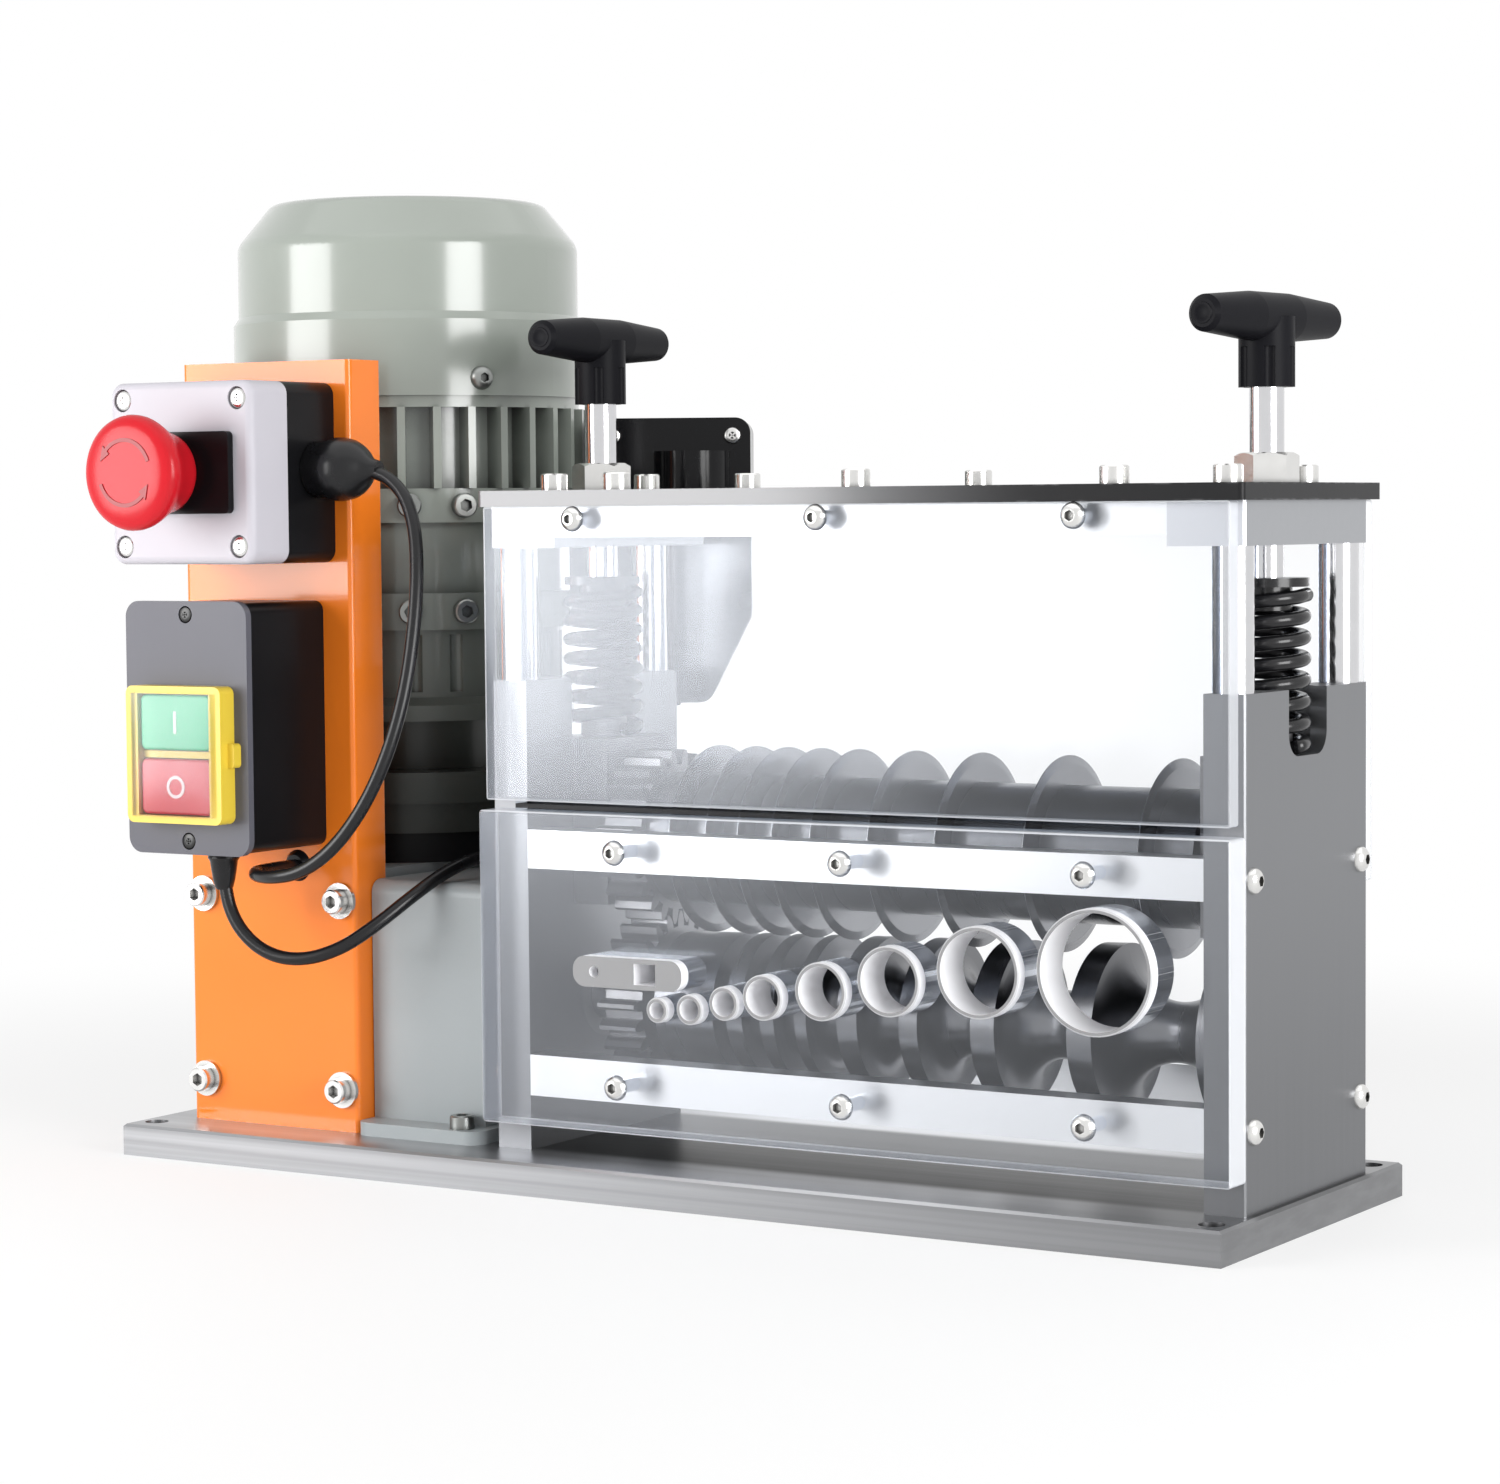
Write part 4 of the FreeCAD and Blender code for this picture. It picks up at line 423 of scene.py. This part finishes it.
materials = {
    "steel_plate": basePlate("baseSteel", (0.45, 0.455, 0.47), 0.34),
    "end_plate": groundPlate("endPlateSteel", (0.245, 0.25, 0.262), 0.40),
    # sides paints the faces towards X darker, as painted shade
    "aluminium": brushed("barAluminium", (0.80, 0.81, 0.83), 0.36, (5, 260, 260), depth=0.06,
                         sides=(0.42, 0.43, 0.45)),
    # the last colour is both the worn corners' colour and that of the painted reflection on the front left
    "top_plate": platePaint("topPlatePaint", (0.014, 0.014, 0.015), (0.25, 0.25, 0.26)),
    "acrylic": clearSheet("clearAcrylic", clearValues),
    "seal": smokedStrip("smokedStrip", stripValues, nodes["gap_seal"]),
    "bright_steel": brushed("brightSteel", (0.66, 0.66, 0.675), 0.13, (90, 90, 90), 0.08),
    # deep paints shade into the screw sockets
    "zinc": brushed("zincPlate", (0.74, 0.735, 0.72), 0.22, (140, 140, 140), 0.16, deep=0.003),
    "roller_steel": brushed("rollerSteel", (0.195, 0.198, 0.21), 0.30, (420, 12, 12)),
    "disc_steel": brushed("discSteel", (0.285, 0.29, 0.305), 0.24, (300, 60, 60)),
    "gear_steel": brushed("gearSteel", (0.24, 0.24, 0.25), 0.38, (180, 60, 60)),
    "bronze": brushed("bronze", (0.60, 0.42, 0.18), 0.34, (120, 40, 40)),
    "slide_iron": brushed("slideIron", (0.20, 0.20, 0.21), 0.45, (60, 60, 200)),
    "black_steel": enamel("springBlack", (0.008, 0.008, 0.009), 0.26, 0.25),
    "handle_plastic": moulded("handlePlastic", (0.008, 0.008, 0.010), 0.42, shine=0.06),
    "gearbox_paint": enamel("gearboxPaint", (0.345, 0.375, 0.385), 0.40, 0.1, 0.00008,
                            worn=(0.5, 0.51, 0.51)),
    "black_enamel": enamel("blackEnamel", (0.008, 0.008, 0.009), 0.40, 0.0, shine=0.15),
    "motor_paint": castPaint("motorPaint", (0.30, 0.33, 0.295), paintValues),
    "stator_iron": brushed("statorIron", (0.10, 0.10, 0.10), 0.5, (60, 60, 900)),
    "rotor_steel": brushed("rotorSteel", (0.40, 0.40, 0.41), 0.38, (80, 80, 300)),
    "fan_plastic": moulded("fanPlastic", (0.02, 0.02, 0.02), 0.5),
    "box_plastic": moulded("boxPlastic", (0.005, 0.005, 0.006), 0.14, 0.00001, shine=0.2),
    "orange_paint": enamel("orangePaint", (0.92, 0.215, 0.016), 0.34, 0.8, 0.00005,
                           worn=(0.95, 0.5, 0.25), shine=0.1),
    "black_plastic": moulded("blackPlastic", (0.006, 0.006, 0.007), 0.30, shine=0.15),
    "light_plastic": moulded("lightPlastic", (0.54, 0.525, 0.57), 0.34, 0.00002, 0.03, shine=0.2),
    "red_plastic": moulded("redPlastic", (0.54, 0.010, 0.018), 0.24, 0.00001, 0.04, shine=0.24),
    "grey_plastic": moulded("greyPlastic", (0.105, 0.105, 0.125), 0.34, 0.00004, shine=0.25),
    "yellow_plastic": moulded("yellowPlastic", (0.74, 0.54, 0.05), 0.30, 0.00002, 0.05),
    "green_plastic": moulded("greenPlastic", (0.012, 0.44, 0.20), 0.26, 0.00002, 0.05),
    "cable": moulded("cableSheath", (0.007, 0.007, 0.008), 0.28, 0.00002, shine=0.35),
}
extraMaterials = {
    # sides paints the faces towards X darker, as painted shade
    "block": brushed("blockAluminium", (0.60, 0.61, 0.64), 0.38, (5, 260, 260), depth=0.06,
                     sides=(0.42, 0.43, 0.45)),
    "redKey": moulded("keyRed", (0.60, 0.030, 0.045), 0.24, 0.00001, 0.04, shine=0.48),
    "guide": guideSteel("guideSteel", (0.84, 0.84, 0.86)),
    # deep paints shade into the screw sockets
    "bolt": brushed("boltGrey", (0.30, 0.31, 0.30), 0.36, (140, 140, 140), 0.16, deep=0.004),
    "darkScrew": brushed("darkScrew", (0.05, 0.05, 0.05), 0.35, (140, 140, 140), deep=0.002),
    "arrow": moulded("arrowRed", (0.30, 0.010, 0.016), 0.4, 0.00001),
    "mark": moulded("markWhite", (0.88, 0.84, 0.86), 0.4, 0.00001, 0.02),
}
print("materials", len(materials) + len(extraMaterials))


def dress(piece, material):
    piece.data.materials.clear()
    piece.data.materials.append(material)


for entry in frame["record"]["subparts"]:
    piece = nodes[entry["node"]]
    dress(piece, materials[entry["material_slot"]])
    for face in piece.data.polygons:
        face.use_smooth = True
    piece.data.set_sharp_from_angle(angle=math.radians(28))
dress(nodes["wire_guides"], extraMaterials["guide"])
dress(nodes["top_blocks"], extraMaterials["block"])
dress(nodes["stop_button"], extraMaterials["redKey"])
dress(nodes["motor_bolts"], extraMaterials["bolt"])
print("frame dressed")


# Leads: the same route points as the tubes
leadValues = {
    "radius": 0.0025,
    "estop_lead": [
        (-0.1310, -0.0620, 0.2610), (-0.1160, -0.0620, 0.2610), (-0.1023, -0.0635, 0.2534),
        (-0.0946, -0.0665, 0.2399), (-0.0905, -0.0710, 0.2220), (-0.0885, -0.0765, 0.2010),
        (-0.0885, -0.0825, 0.1790), (-0.0920, -0.0885, 0.1575), (-0.0995, -0.0935, 0.1385),
        (-0.1110, -0.0965, 0.1235), (-0.1250, -0.0975, 0.1145), (-0.1402, -0.0968, 0.1120),
        (-0.15465, -0.0885, 0.1120), (-0.1630, -0.0740, 0.1120), (-0.1630, -0.0537, 0.1120),
    ],
    "switch_lead": [
        (-0.1720, -0.0840, 0.11775), (-0.1720, -0.0840, 0.1045), (-0.1659, -0.0838, 0.0909),
        (-0.1540, -0.0825, 0.0819), (-0.1393, -0.0798, 0.0799), (-0.1250, -0.0745, 0.0845),
        (-0.1150, -0.0650, 0.0935), (-0.1080, -0.0520, 0.1035), (-0.1035, -0.0370, 0.1115),
        (-0.1015, -0.0180, 0.1155), (-0.1005, 0.0040, 0.1166), (-0.0985, 0.0290, 0.1170),
        (-0.0965, 0.0520, 0.1200), (-0.0942, 0.0710, 0.1274), (-0.0914, 0.0830, 0.1386),
        (-0.0895, 0.0885, 0.1520), (-0.0895, 0.0885, 0.1645),
    ],
    "lengths": {"estop_lead": 0.2563, "switch_lead": 0.2780},
}


def makeLead(name, v):
    curve = bpy.data.curves.new(name + "_run", "CURVE")
    curve.dimensions = "3D"
    curve.bevel_depth = v["radius"]
    curve.bevel_resolution = 6
    curve.resolution_u = 12
    spline = curve.splines.new("NURBS")
    spline.points.add(len(v[name]) - 1)
    for point, place in zip(spline.points, v[name]):
        point.co = (*place, 1.0)
    spline.order_u = 3
    spline.use_endpoint_u = True
    lead = bpy.data.objects.new(name + "_run", curve)
    bpy.context.scene.collection.objects.link(lead)
    curve.materials.append(materials["cable"])
    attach(lead, "frame")
    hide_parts(name)


for leadName in ("estop_lead", "switch_lead"):
    makeLead(leadName, leadValues)
print("leads laid")


# Pieces made here
def finishPiece(name, bm, body, slot, material=None, replaced=(), angle=35):
    bmesh.ops.remove_doubles(bm, verts=bm.verts, dist=1e-6)
    bmesh.ops.recalc_face_normals(bm, faces=bm.faces)
    mesh = bpy.data.meshes.new(name)
    bm.to_mesh(mesh)
    bm.free()
    for face in mesh.polygons:
        face.use_smooth = True
    mesh.set_sharp_from_angle(angle=math.radians(angle))
    piece = bpy.data.objects.new(name, mesh)
    bpy.context.scene.collection.objects.link(piece)
    mesh.materials.append(material or materials[slot])
    if body:
        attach(piece, body)
    if replaced:
        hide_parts(*replaced)
    return piece


def mergedCopy(node):
    bm = bmesh.new()
    bm.from_mesh(nodes[node].data)
    bmesh.ops.remove_doubles(bm, verts=bm.verts, dist=1e-6)
    return bm


sheetValues = {
    "inset": 0.00004,
    "sheets": {
        "upper_front_guard": ("upperFrontSheet", 0.45),
        "lower_front_guard": ("lowerFrontSheet", 0.65),
        "rear_guard": ("rearSheet", 0.4),
    },
}


def makeSheets(v):
    # the clear sheets, a hair smaller all over, so that no face lies in a face of the bars or bushes
    for node, (name, edgeShare) in v["sheets"].items():
        bm = mergedCopy(node)
        bmesh.ops.recalc_face_normals(bm, faces=bm.faces)
        bm.normal_update()
        steps = [(vert, vert.normal * -v["inset"]) for vert in bm.verts]
        for vert, step in steps:
            vert.co += step
        sheet = clearSheet(name + "Acrylic", clearValues, nodes[node], edgeShare)
        finishPiece(name, bm, "frame", "acrylic", sheet, (node,), 3)


springValues = {
    "wireRadius": 0.0024,
    "pitch": 0.00716,
    "tailRise": 0.0005,
    "turnsBelow": 3,
    "springs": {
        "left_spring": ("leftSpring", -0.0575, "left_cap"),
        "right_spring": ("rightSpring", 0.2120, "right_cap"),
    },
}


def springLength(v, node, centre, start, pitch, isTop):
    # the turns of a spring above the one where its two lengths meet, or those below it
    bm = mergedCopy(node)
    away = []
    for face in bm.faces:
        middle = face.calc_center_median()
        share = math.atan2(middle.y, middle.x - centre) / (2 * math.pi) % 1.0
        turn = share + round((middle.z - start) / pitch - share)
        if (turn < v["turnsBelow"]) == isTop:
            away.append(face)
    bmesh.ops.delete(bm, geom=away, context="FACES")
    bmesh.ops.holes_fill(bm, edges=[edge for edge in bm.edges if edge.is_boundary], sides=0)
    return bm


def makeSprings(v):
    # each spring in two lengths that meet on one turn
    for node, (name, centre, cap) in v["springs"].items():
        lowest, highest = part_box(node)
        start = lowest[2] + v["wireRadius"] + v["tailRise"]
        rise = highest[2] - v["wireRadius"] - v["tailRise"] - start
        pitch = rise / round(rise / v["pitch"])
        meet = start + v["turnsBelow"] * pitch
        lengths = [
            ("Foot", "carriage", "frame", lowest[2], meet - v["wireRadius"]),
            ("Top", "frame", cap, meet + v["wireRadius"], highest[2]),
        ]
        for part, lowerBody, upperBody, low, high in lengths:
            bm = springLength(v, node, centre, start, pitch, part == "Top")
            piece = finishPiece(name + part, bm, None, "black_steel", None, (node,))
            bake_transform(piece)


def spun(bm, profile, centre, axis, steps=64):
    # profile holds (reach, run) pairs: reach from the axis, run along it
    axis = Vector(axis).normalized()
    side = axis.orthogonal().normalized()
    verts = [bm.verts.new(Vector(centre) + side * reach + axis * run) for reach, run in profile]
    edges = [bm.edges.new(pair) for pair in zip(verts[:-1], verts[1:])]
    bmesh.ops.spin(bm, geom=verts + edges, cent=centre, axis=axis, angle=2 * math.pi, steps=steps,
                   use_merge=True)
    bmesh.ops.remove_doubles(bm, verts=bm.verts, dist=1e-7)


mushroomValues = {
    "centre": (-0.1765, 0.0, 0.260),
    "profile": [
        (0.0, -0.1310), (0.0120, -0.13095), (0.0165, -0.1306), (0.0190, -0.1297), (0.0204, -0.1284),
        (0.0210, -0.1266), (0.0209, -0.1248), (0.0202, -0.1228), (0.0186, -0.1195), (0.0168, -0.1155),
        (0.0154, -0.1115), (0.0147, -0.1086), (0.0143, -0.1080), (0.0100, -0.1080), (0.0100, -0.0930),
        (0.0, -0.0930),
    ],
}


def makeMushroom(v):
    bm = bmesh.new()
    spun(bm, v["profile"], v["centre"], (0, 1, 0), 72)
    finishPiece("mushroomHead", bm, "estop_head", "red_plastic", replaced=("estop_button",))


arrowValues = {
    "centre": (-0.1765, 0.0, 0.260),
    "low": -0.1313,
    "high": -0.1308,
    "reach": 0.0118,
    "width": 0.0014,
    "starts": (20, 200),
    "sweep": 115,
    "headWidth": 0.0042,
    "headSweep": 24,
}


def onRing(v, reach, degrees, y):
    angle = math.radians(degrees)
    return Vector((v["centre"][0] + reach * math.cos(angle), y, v["centre"][2] + reach * math.sin(angle)))


def makeArrows(v):
    bm = bmesh.new()
    for start in v["starts"]:
        inner = bm.verts.new(onRing(v, v["reach"] - v["width"] / 2, start, v["high"]))
        outer = bm.verts.new(onRing(v, v["reach"] + v["width"] / 2, start, v["high"]))
        edge = bm.edges.new((inner, outer))
        bmesh.ops.spin(bm, geom=[inner, outer, edge], cent=v["centre"], axis=(0, -1, 0),
                       angle=math.radians(v["sweep"]), steps=18)
        end = start + v["sweep"]
        base = [onRing(v, v["reach"] + way * v["headWidth"] / 2, end, v["high"]) for way in (-1, 1)]
        tip = onRing(v, v["reach"], end + v["headSweep"], v["high"])
        bm.faces.new([bm.verts.new(p) for p in (*base, tip)])
    faces = bm.faces[:]
    raised = bmesh.ops.extrude_face_region(bm, geom=faces)
    moved = [part for part in raised["geom"] if isinstance(part, bmesh.types.BMVert)]
    bmesh.ops.translate(bm, verts=moved, vec=(0, v["low"] - v["high"], 0))
    finishPiece("mushroomArrows", bm, "estop_head", "red_plastic", extraMaterials["arrow"])


def addPanHead(bm, place, outward, reach, rise, recess):
    # a pan head with a cross recess, its underside at place
    outward = Vector(outward).normalized()
    profile = [(0.0, 0.0), (reach, 0.0), (reach, rise * 0.35), (reach * 0.86, rise * 0.8),
               (reach * 0.6, rise), (recess * 1.25, rise), (recess * 0.5, rise * 0.25), (0.0, rise * 0.2)]
    spun(bm, profile, place, outward, 24)
    side = outward.orthogonal().normalized()
    other = outward.cross(side)
    for first, second in ((side, other), (other, side)):
        run = first * recess * 1.6
        width = second * recess * 0.28
        corners = [run + width, run - width, -run - width, -run + width]
        bm.faces.new([bm.verts.new(Vector(place) + outward * rise * 1.012 + c) for c in corners])


def addSocketHead(bm, place, outward, reach, rise):
    # a cylinder head with a bevelled rim and a hexagon socket
    outward = Vector(outward).normalized()
    turn = outward.to_track_quat("Z", "X").to_matrix().to_4x4()
    where = Matrix.Translation(Vector(place) + outward * rise / 2) @ turn
    made = bmesh.ops.create_cone(bm, cap_ends=True, segments=24, radius1=reach, radius2=reach,
                                 depth=rise, matrix=where)
    own = [f for f in bm.faces if all(x in made["verts"] for x in f.verts)]
    top = [f for f in own if f.normal.dot(outward) > 0.9]
    rim = [e for f in top for e in f.edges]
    bmesh.ops.bevel(bm, geom=rim, offset=rise * 0.12, offset_type="OFFSET", segments=2, profile=0.5,
                    affect="EDGES", material=-1)
    socket = Matrix.Translation(Vector(place) + outward * rise * 1.01) @ turn
    ring = bmesh.ops.create_circle(bm, cap_ends=True, segments=6, radius=reach * 0.5, matrix=socket)
    faces = list({f for x in ring["verts"] for f in x.link_faces})
    deep = bmesh.ops.extrude_face_region(bm, geom=faces)
    low = [x for x in deep["geom"] if isinstance(x, bmesh.types.BMVert)]
    bmesh.ops.translate(bm, verts=low, vec=outward * -rise * 0.03)


# head is the reach of the head, its rise, and the reach of its cross recess
screwValues = {
    "lid": {
        "x": -0.1765, "z": 0.260, "spread": 0.027, "y": -0.0984,
        "head": (0.0041, 0.0014, 0.0012),
    },
    "face": {
        "x": -0.17525, "z": 0.16625, "spread": 0.0418, "y": -0.0989,
        "head": (0.0031, 0.0013, 0.0009),
    },
    "box": {
        "pivot": (-0.0735, 0.074), "turn": 30.0, "y": 0.074,
        "places": [(-0.0970, 0.2740), (-0.0500, 0.2740), (-0.0970, 0.1765)],
        "head": (0.0034, 0.0018, 0.0011),
    },
    "cover": {
        "x": -0.21215, "ys": (-0.0400, 0.0628, 0.0114), "zs": (0.022, 0.100),
        "head": (0.0042, 0.0030),
    },
}


def makeSmallScrews(v):
    bm = bmesh.new()
    lid = v["lid"]
    for dx in (-lid["spread"], lid["spread"]):
        for dz in (-lid["spread"], lid["spread"]):
            place = (lid["x"] + dx, lid["y"], lid["z"] + dz)
            addPanHead(bm, place, (0, -1, 0), *lid["head"])
    box = v["box"]
    turn = Matrix.Rotation(math.radians(box["turn"]), 2)
    outward = turn @ Vector((0, -1))
    for x, z in box["places"]:
        flat = turn @ (Vector((x, box["y"])) - Vector(box["pivot"])) + Vector(box["pivot"])
        addPanHead(bm, (flat.x, flat.y, z), (outward.x, outward.y, 0), *box["head"])
    finishPiece("panHeadScrews", bm, "frame", "zinc")
    bm = bmesh.new()
    face = v["face"]
    for dz in (-face["spread"], face["spread"]):
        addPanHead(bm, (face["x"], face["y"], face["z"] + dz), (0, -1, 0), *face["head"])
    finishPiece("faceScrews", bm, "frame", "zinc", extraMaterials["darkScrew"])
    bm = bmesh.new()
    cover = v["cover"]
    for y in cover["ys"]:
        for z in cover["zs"]:
            addSocketHead(bm, (cover["x"], y, z), (-1, 0, 0), *cover["head"])
    finishPiece("gearboxCoverScrews", bm, "frame", "zinc")


membraneValues = {
    "x": -0.17525,
    "z": 0.15675,
    "half": (0.0188, 0.0226),
    "back": -0.1080,
    "front": -0.1094,
    "crown": 0.0007,
}


def makeMembrane(v):
    # clear flexible cover over the two keys, crowned towards its middle
    bm = bmesh.new()
    across = 12
    where = Matrix.Translation((v["x"], v["front"], v["z"])) @ Matrix.Rotation(math.radians(90), 4, "X")
    bmesh.ops.create_grid(bm, x_segments=across, y_segments=across, size=1.0, matrix=where)
    for vert in bm.verts:
        u = vert.co.x - v["x"]
        w = vert.co.z - v["z"]
        vert.co.x = v["x"] + u * v["half"][0]
        vert.co.z = v["z"] + w * v["half"][1]
        vert.co.y = v["front"] - v["crown"] * (1 - u ** 4) * (1 - w ** 4)
    rim = [e for e in bm.edges if e.is_boundary]
    skirt = bmesh.ops.extrude_edge_only(bm, edges=rim)
    for vert in skirt["geom"]:
        if isinstance(vert, bmesh.types.BMVert):
            vert.co.y = v["back"]
    finishPiece("switchMembrane", bm, "frame", "acrylic")


markValues = {
    "x": -0.17525,
    "start": {"z": 0.1686, "front": -0.1068, "half": (0.00065, 0.0042)},
    "stop": {"z": 0.1449, "front": -0.1068, "reach": 0.0042, "width": 0.0012},
    "rise": 0.00025,
    "bevel": 0.0001,
}


def makeMarks(v):
    # I on the green key, O on the red key
    bm = bmesh.new()
    start = v["start"]
    where = Matrix.Translation((v["x"], start["front"], start["z"]))
    made = bmesh.ops.create_cube(bm, size=1.0, matrix=where)
    for vert in made["verts"]:
        vert.co.x = v["x"] + (vert.co.x - v["x"]) * 2 * start["half"][0]
        vert.co.z = start["z"] + (vert.co.z - start["z"]) * 2 * start["half"][1]
        vert.co.y = start["front"] + (vert.co.y - start["front"]) * 2 * v["rise"]
    bmesh.ops.bevel(bm, geom=bm.edges[:], offset=v["bevel"], segments=1, profile=0.5, affect="EDGES",
                    material=-1)
    finishPiece("startMark", bm, "start_key", "light_plastic", extraMaterials["mark"])
    bm = bmesh.new()
    stop = v["stop"]
    low = stop["front"] + v["rise"]
    high = stop["front"] - v["rise"]
    inner = stop["reach"] - stop["width"]
    outer = stop["reach"]
    ring = [(inner, low), (outer, low), (outer, high), (inner, high), (inner, low)]
    spun(bm, ring, (v["x"], 0, stop["z"]), (0, 1, 0), 40)
    finishPiece("stopMark", bm, "stop_key", "light_plastic", extraMaterials["mark"])


reliefValues = {
    "bootStart": (-0.1425, -0.062, 0.261),
    "boot": [
        (0.0, -0.0003), (0.0103, -0.0003), (0.0106, 0.0006), (0.0106, 0.0060), (0.0113, 0.0075),
        (0.0118, 0.0100), (0.0117, 0.0130), (0.0110, 0.0160), (0.0098, 0.0185), (0.0080, 0.0208),
        (0.0062, 0.0226), (0.0046, 0.0242), (0.0036, 0.0262), (0.0030, 0.0285), (0.0, 0.0285),
    ],
    "sleeveStart": (-0.172, -0.084, 0.1185),
    "sleeve": [
        (0.0, 0.0), (0.0058, 0.0), (0.0060, 0.0012), (0.0052, 0.0024), (0.0047, 0.0060),
        (0.0041, 0.0095), (0.0034, 0.0122), (0.0029, 0.0130), (0.0, 0.0130),
    ],
}


def makeRelief(v):
    # the domed boot on the emergency stop's gland and the sleeve under the switch box, both tapering
    bm = bmesh.new()
    spun(bm, v["boot"], v["bootStart"], (1, 0, 0), 48)
    finishPiece("leadBoot", bm, "frame", "black_plastic", materials["cable"])
    bm = bmesh.new()
    spun(bm, v["sleeve"], v["sleeveStart"], (0, 0, -1), 32)
    finishPiece("leadSleeve", bm, "frame", "black_plastic", materials["cable"])


plugValues = {
    "reach": 0.0036,
    "rise": 0.0003,
    "half": 0.0410,
    "z": 0.308,
    "handles": {"left_screw": (-0.0575, -2.0), "right_screw": (0.212, 6.3)},
}


def makeHandlePlugs(v):
    # small round plugs in the ends of the T-handles
    for body, (x, degrees) in v["handles"].items():
        bm = bmesh.new()
        angle = math.radians(degrees)
        way = Vector((math.sin(angle), math.cos(angle), 0))
        for sign in (-1, 1):
            end = Vector((x, 0, v["z"])) + way * sign * v["half"]
            reach = v["reach"]
            rise = v["rise"]
            profile = [(0.0, rise * 0.4), (reach * 0.62, rise * 0.4), (reach * 0.72, rise),
                       (reach * 0.95, rise), (reach, 0.0)]
            spun(bm, profile, end, way * sign, 32)
        finishPiece(body + "_plugs", bm, body, "handle_plastic")


makeSheets(sheetValues)
makeSprings(springValues)
makeMushroom(mushroomValues)
makeArrows(arrowValues)
makeSmallScrews(screwValues)
makeMembrane(membraneValues)
makeMarks(markValues)
makeRelief(reliefValues)
makeHandlePlugs(plugValues)
print("detail pieces made")


# Floor and light
studioValues = {
    "floor": (0.90, 0.90, 0.90),
    "floorNear": 0.36,
    "floorFar": 0.80,
    "floorGlow": 0.6,
    "worldFill": 0.46,
    "lamps": [
        ("overhead", (0.1, -0.1, 1.7), (0, 0, 0.1), (2.4, 2.0), 8.0),
        ("leftBox", (-0.668, -0.790, 0.33), (-0.175, 0.02, 0.31), (0.545, 0.52), 7.4),
        ("rightBox", (1.366, -0.41, 0.46), (-0.175, 0.02, 0.36), (0.69, 0.70), 16.0),
    ],
}


def makeFloor(v):
    bm = bmesh.new()
    bmesh.ops.create_grid(bm, x_segments=2, y_segments=2, size=6.0)
    mesh = bpy.data.meshes.new("floor")
    bm.to_mesh(mesh)
    bm.free()
    floor = bpy.data.objects.new("floor", mesh)
    bpy.context.scene.collection.objects.link(floor)
    f = Finish("floorFinish", v["floor"], 0.6)
    f.into("Roughness", f.noise(6.0) * 0.1 + 0.55)
    away = f.node("ShaderNodeVectorMath", {"operation": "LENGTH"}, {0: f.coords}, out="Value")
    glow = f.node("ShaderNodeEmission", None, {"Color": (1.0, 1.0, 1.0), "Strength": 1.0})
    far = away.ramp(v["floorNear"], v["floorFar"])
    share = f.rays() * (far * (1 - v["floorGlow"]) + v["floorGlow"])
    f.feed(f.output.inputs["Surface"], f.blend(share, Wire(f, f.shader.outputs[0]), glow))
    mesh.materials.append(f.material)


def makeWorld(v):
    world = bpy.data.worlds.new("studio")
    bpy.context.scene.world = world
    world.use_nodes = True
    g = Graph(world.node_tree)
    fill = g.node("ShaderNodeBackground", None, {"Color": (1.0, 1.0, 1.0), "Strength": v["worldFill"]})
    white = g.node("ShaderNodeBackground", None, {"Color": (1.0, 1.0, 1.0), "Strength": 1.0})
    g.feed(world.node_tree.nodes["World Output"].inputs["Surface"], g.blend(g.rays(), fill, white))


def makeLamps(v):
    for name, place, aim, size, power in v["lamps"]:
        data = bpy.data.lights.new(name, "AREA")
        data.shape = "RECTANGLE"
        data.size, data.size_y = size
        data.energy = power
        lamp = bpy.data.objects.new(name, data)
        lamp.location = place
        lamp.rotation_euler = (Vector(aim) - Vector(place)).to_track_quat("-Z", "Y").to_euler()
        bpy.context.scene.collection.objects.link(lamp)
    bpy.context.scene.view_settings.view_transform = "Standard"


makeFloor(studioValues)
makeWorld(studioValues)
makeLamps(studioValues)
print("studio set")
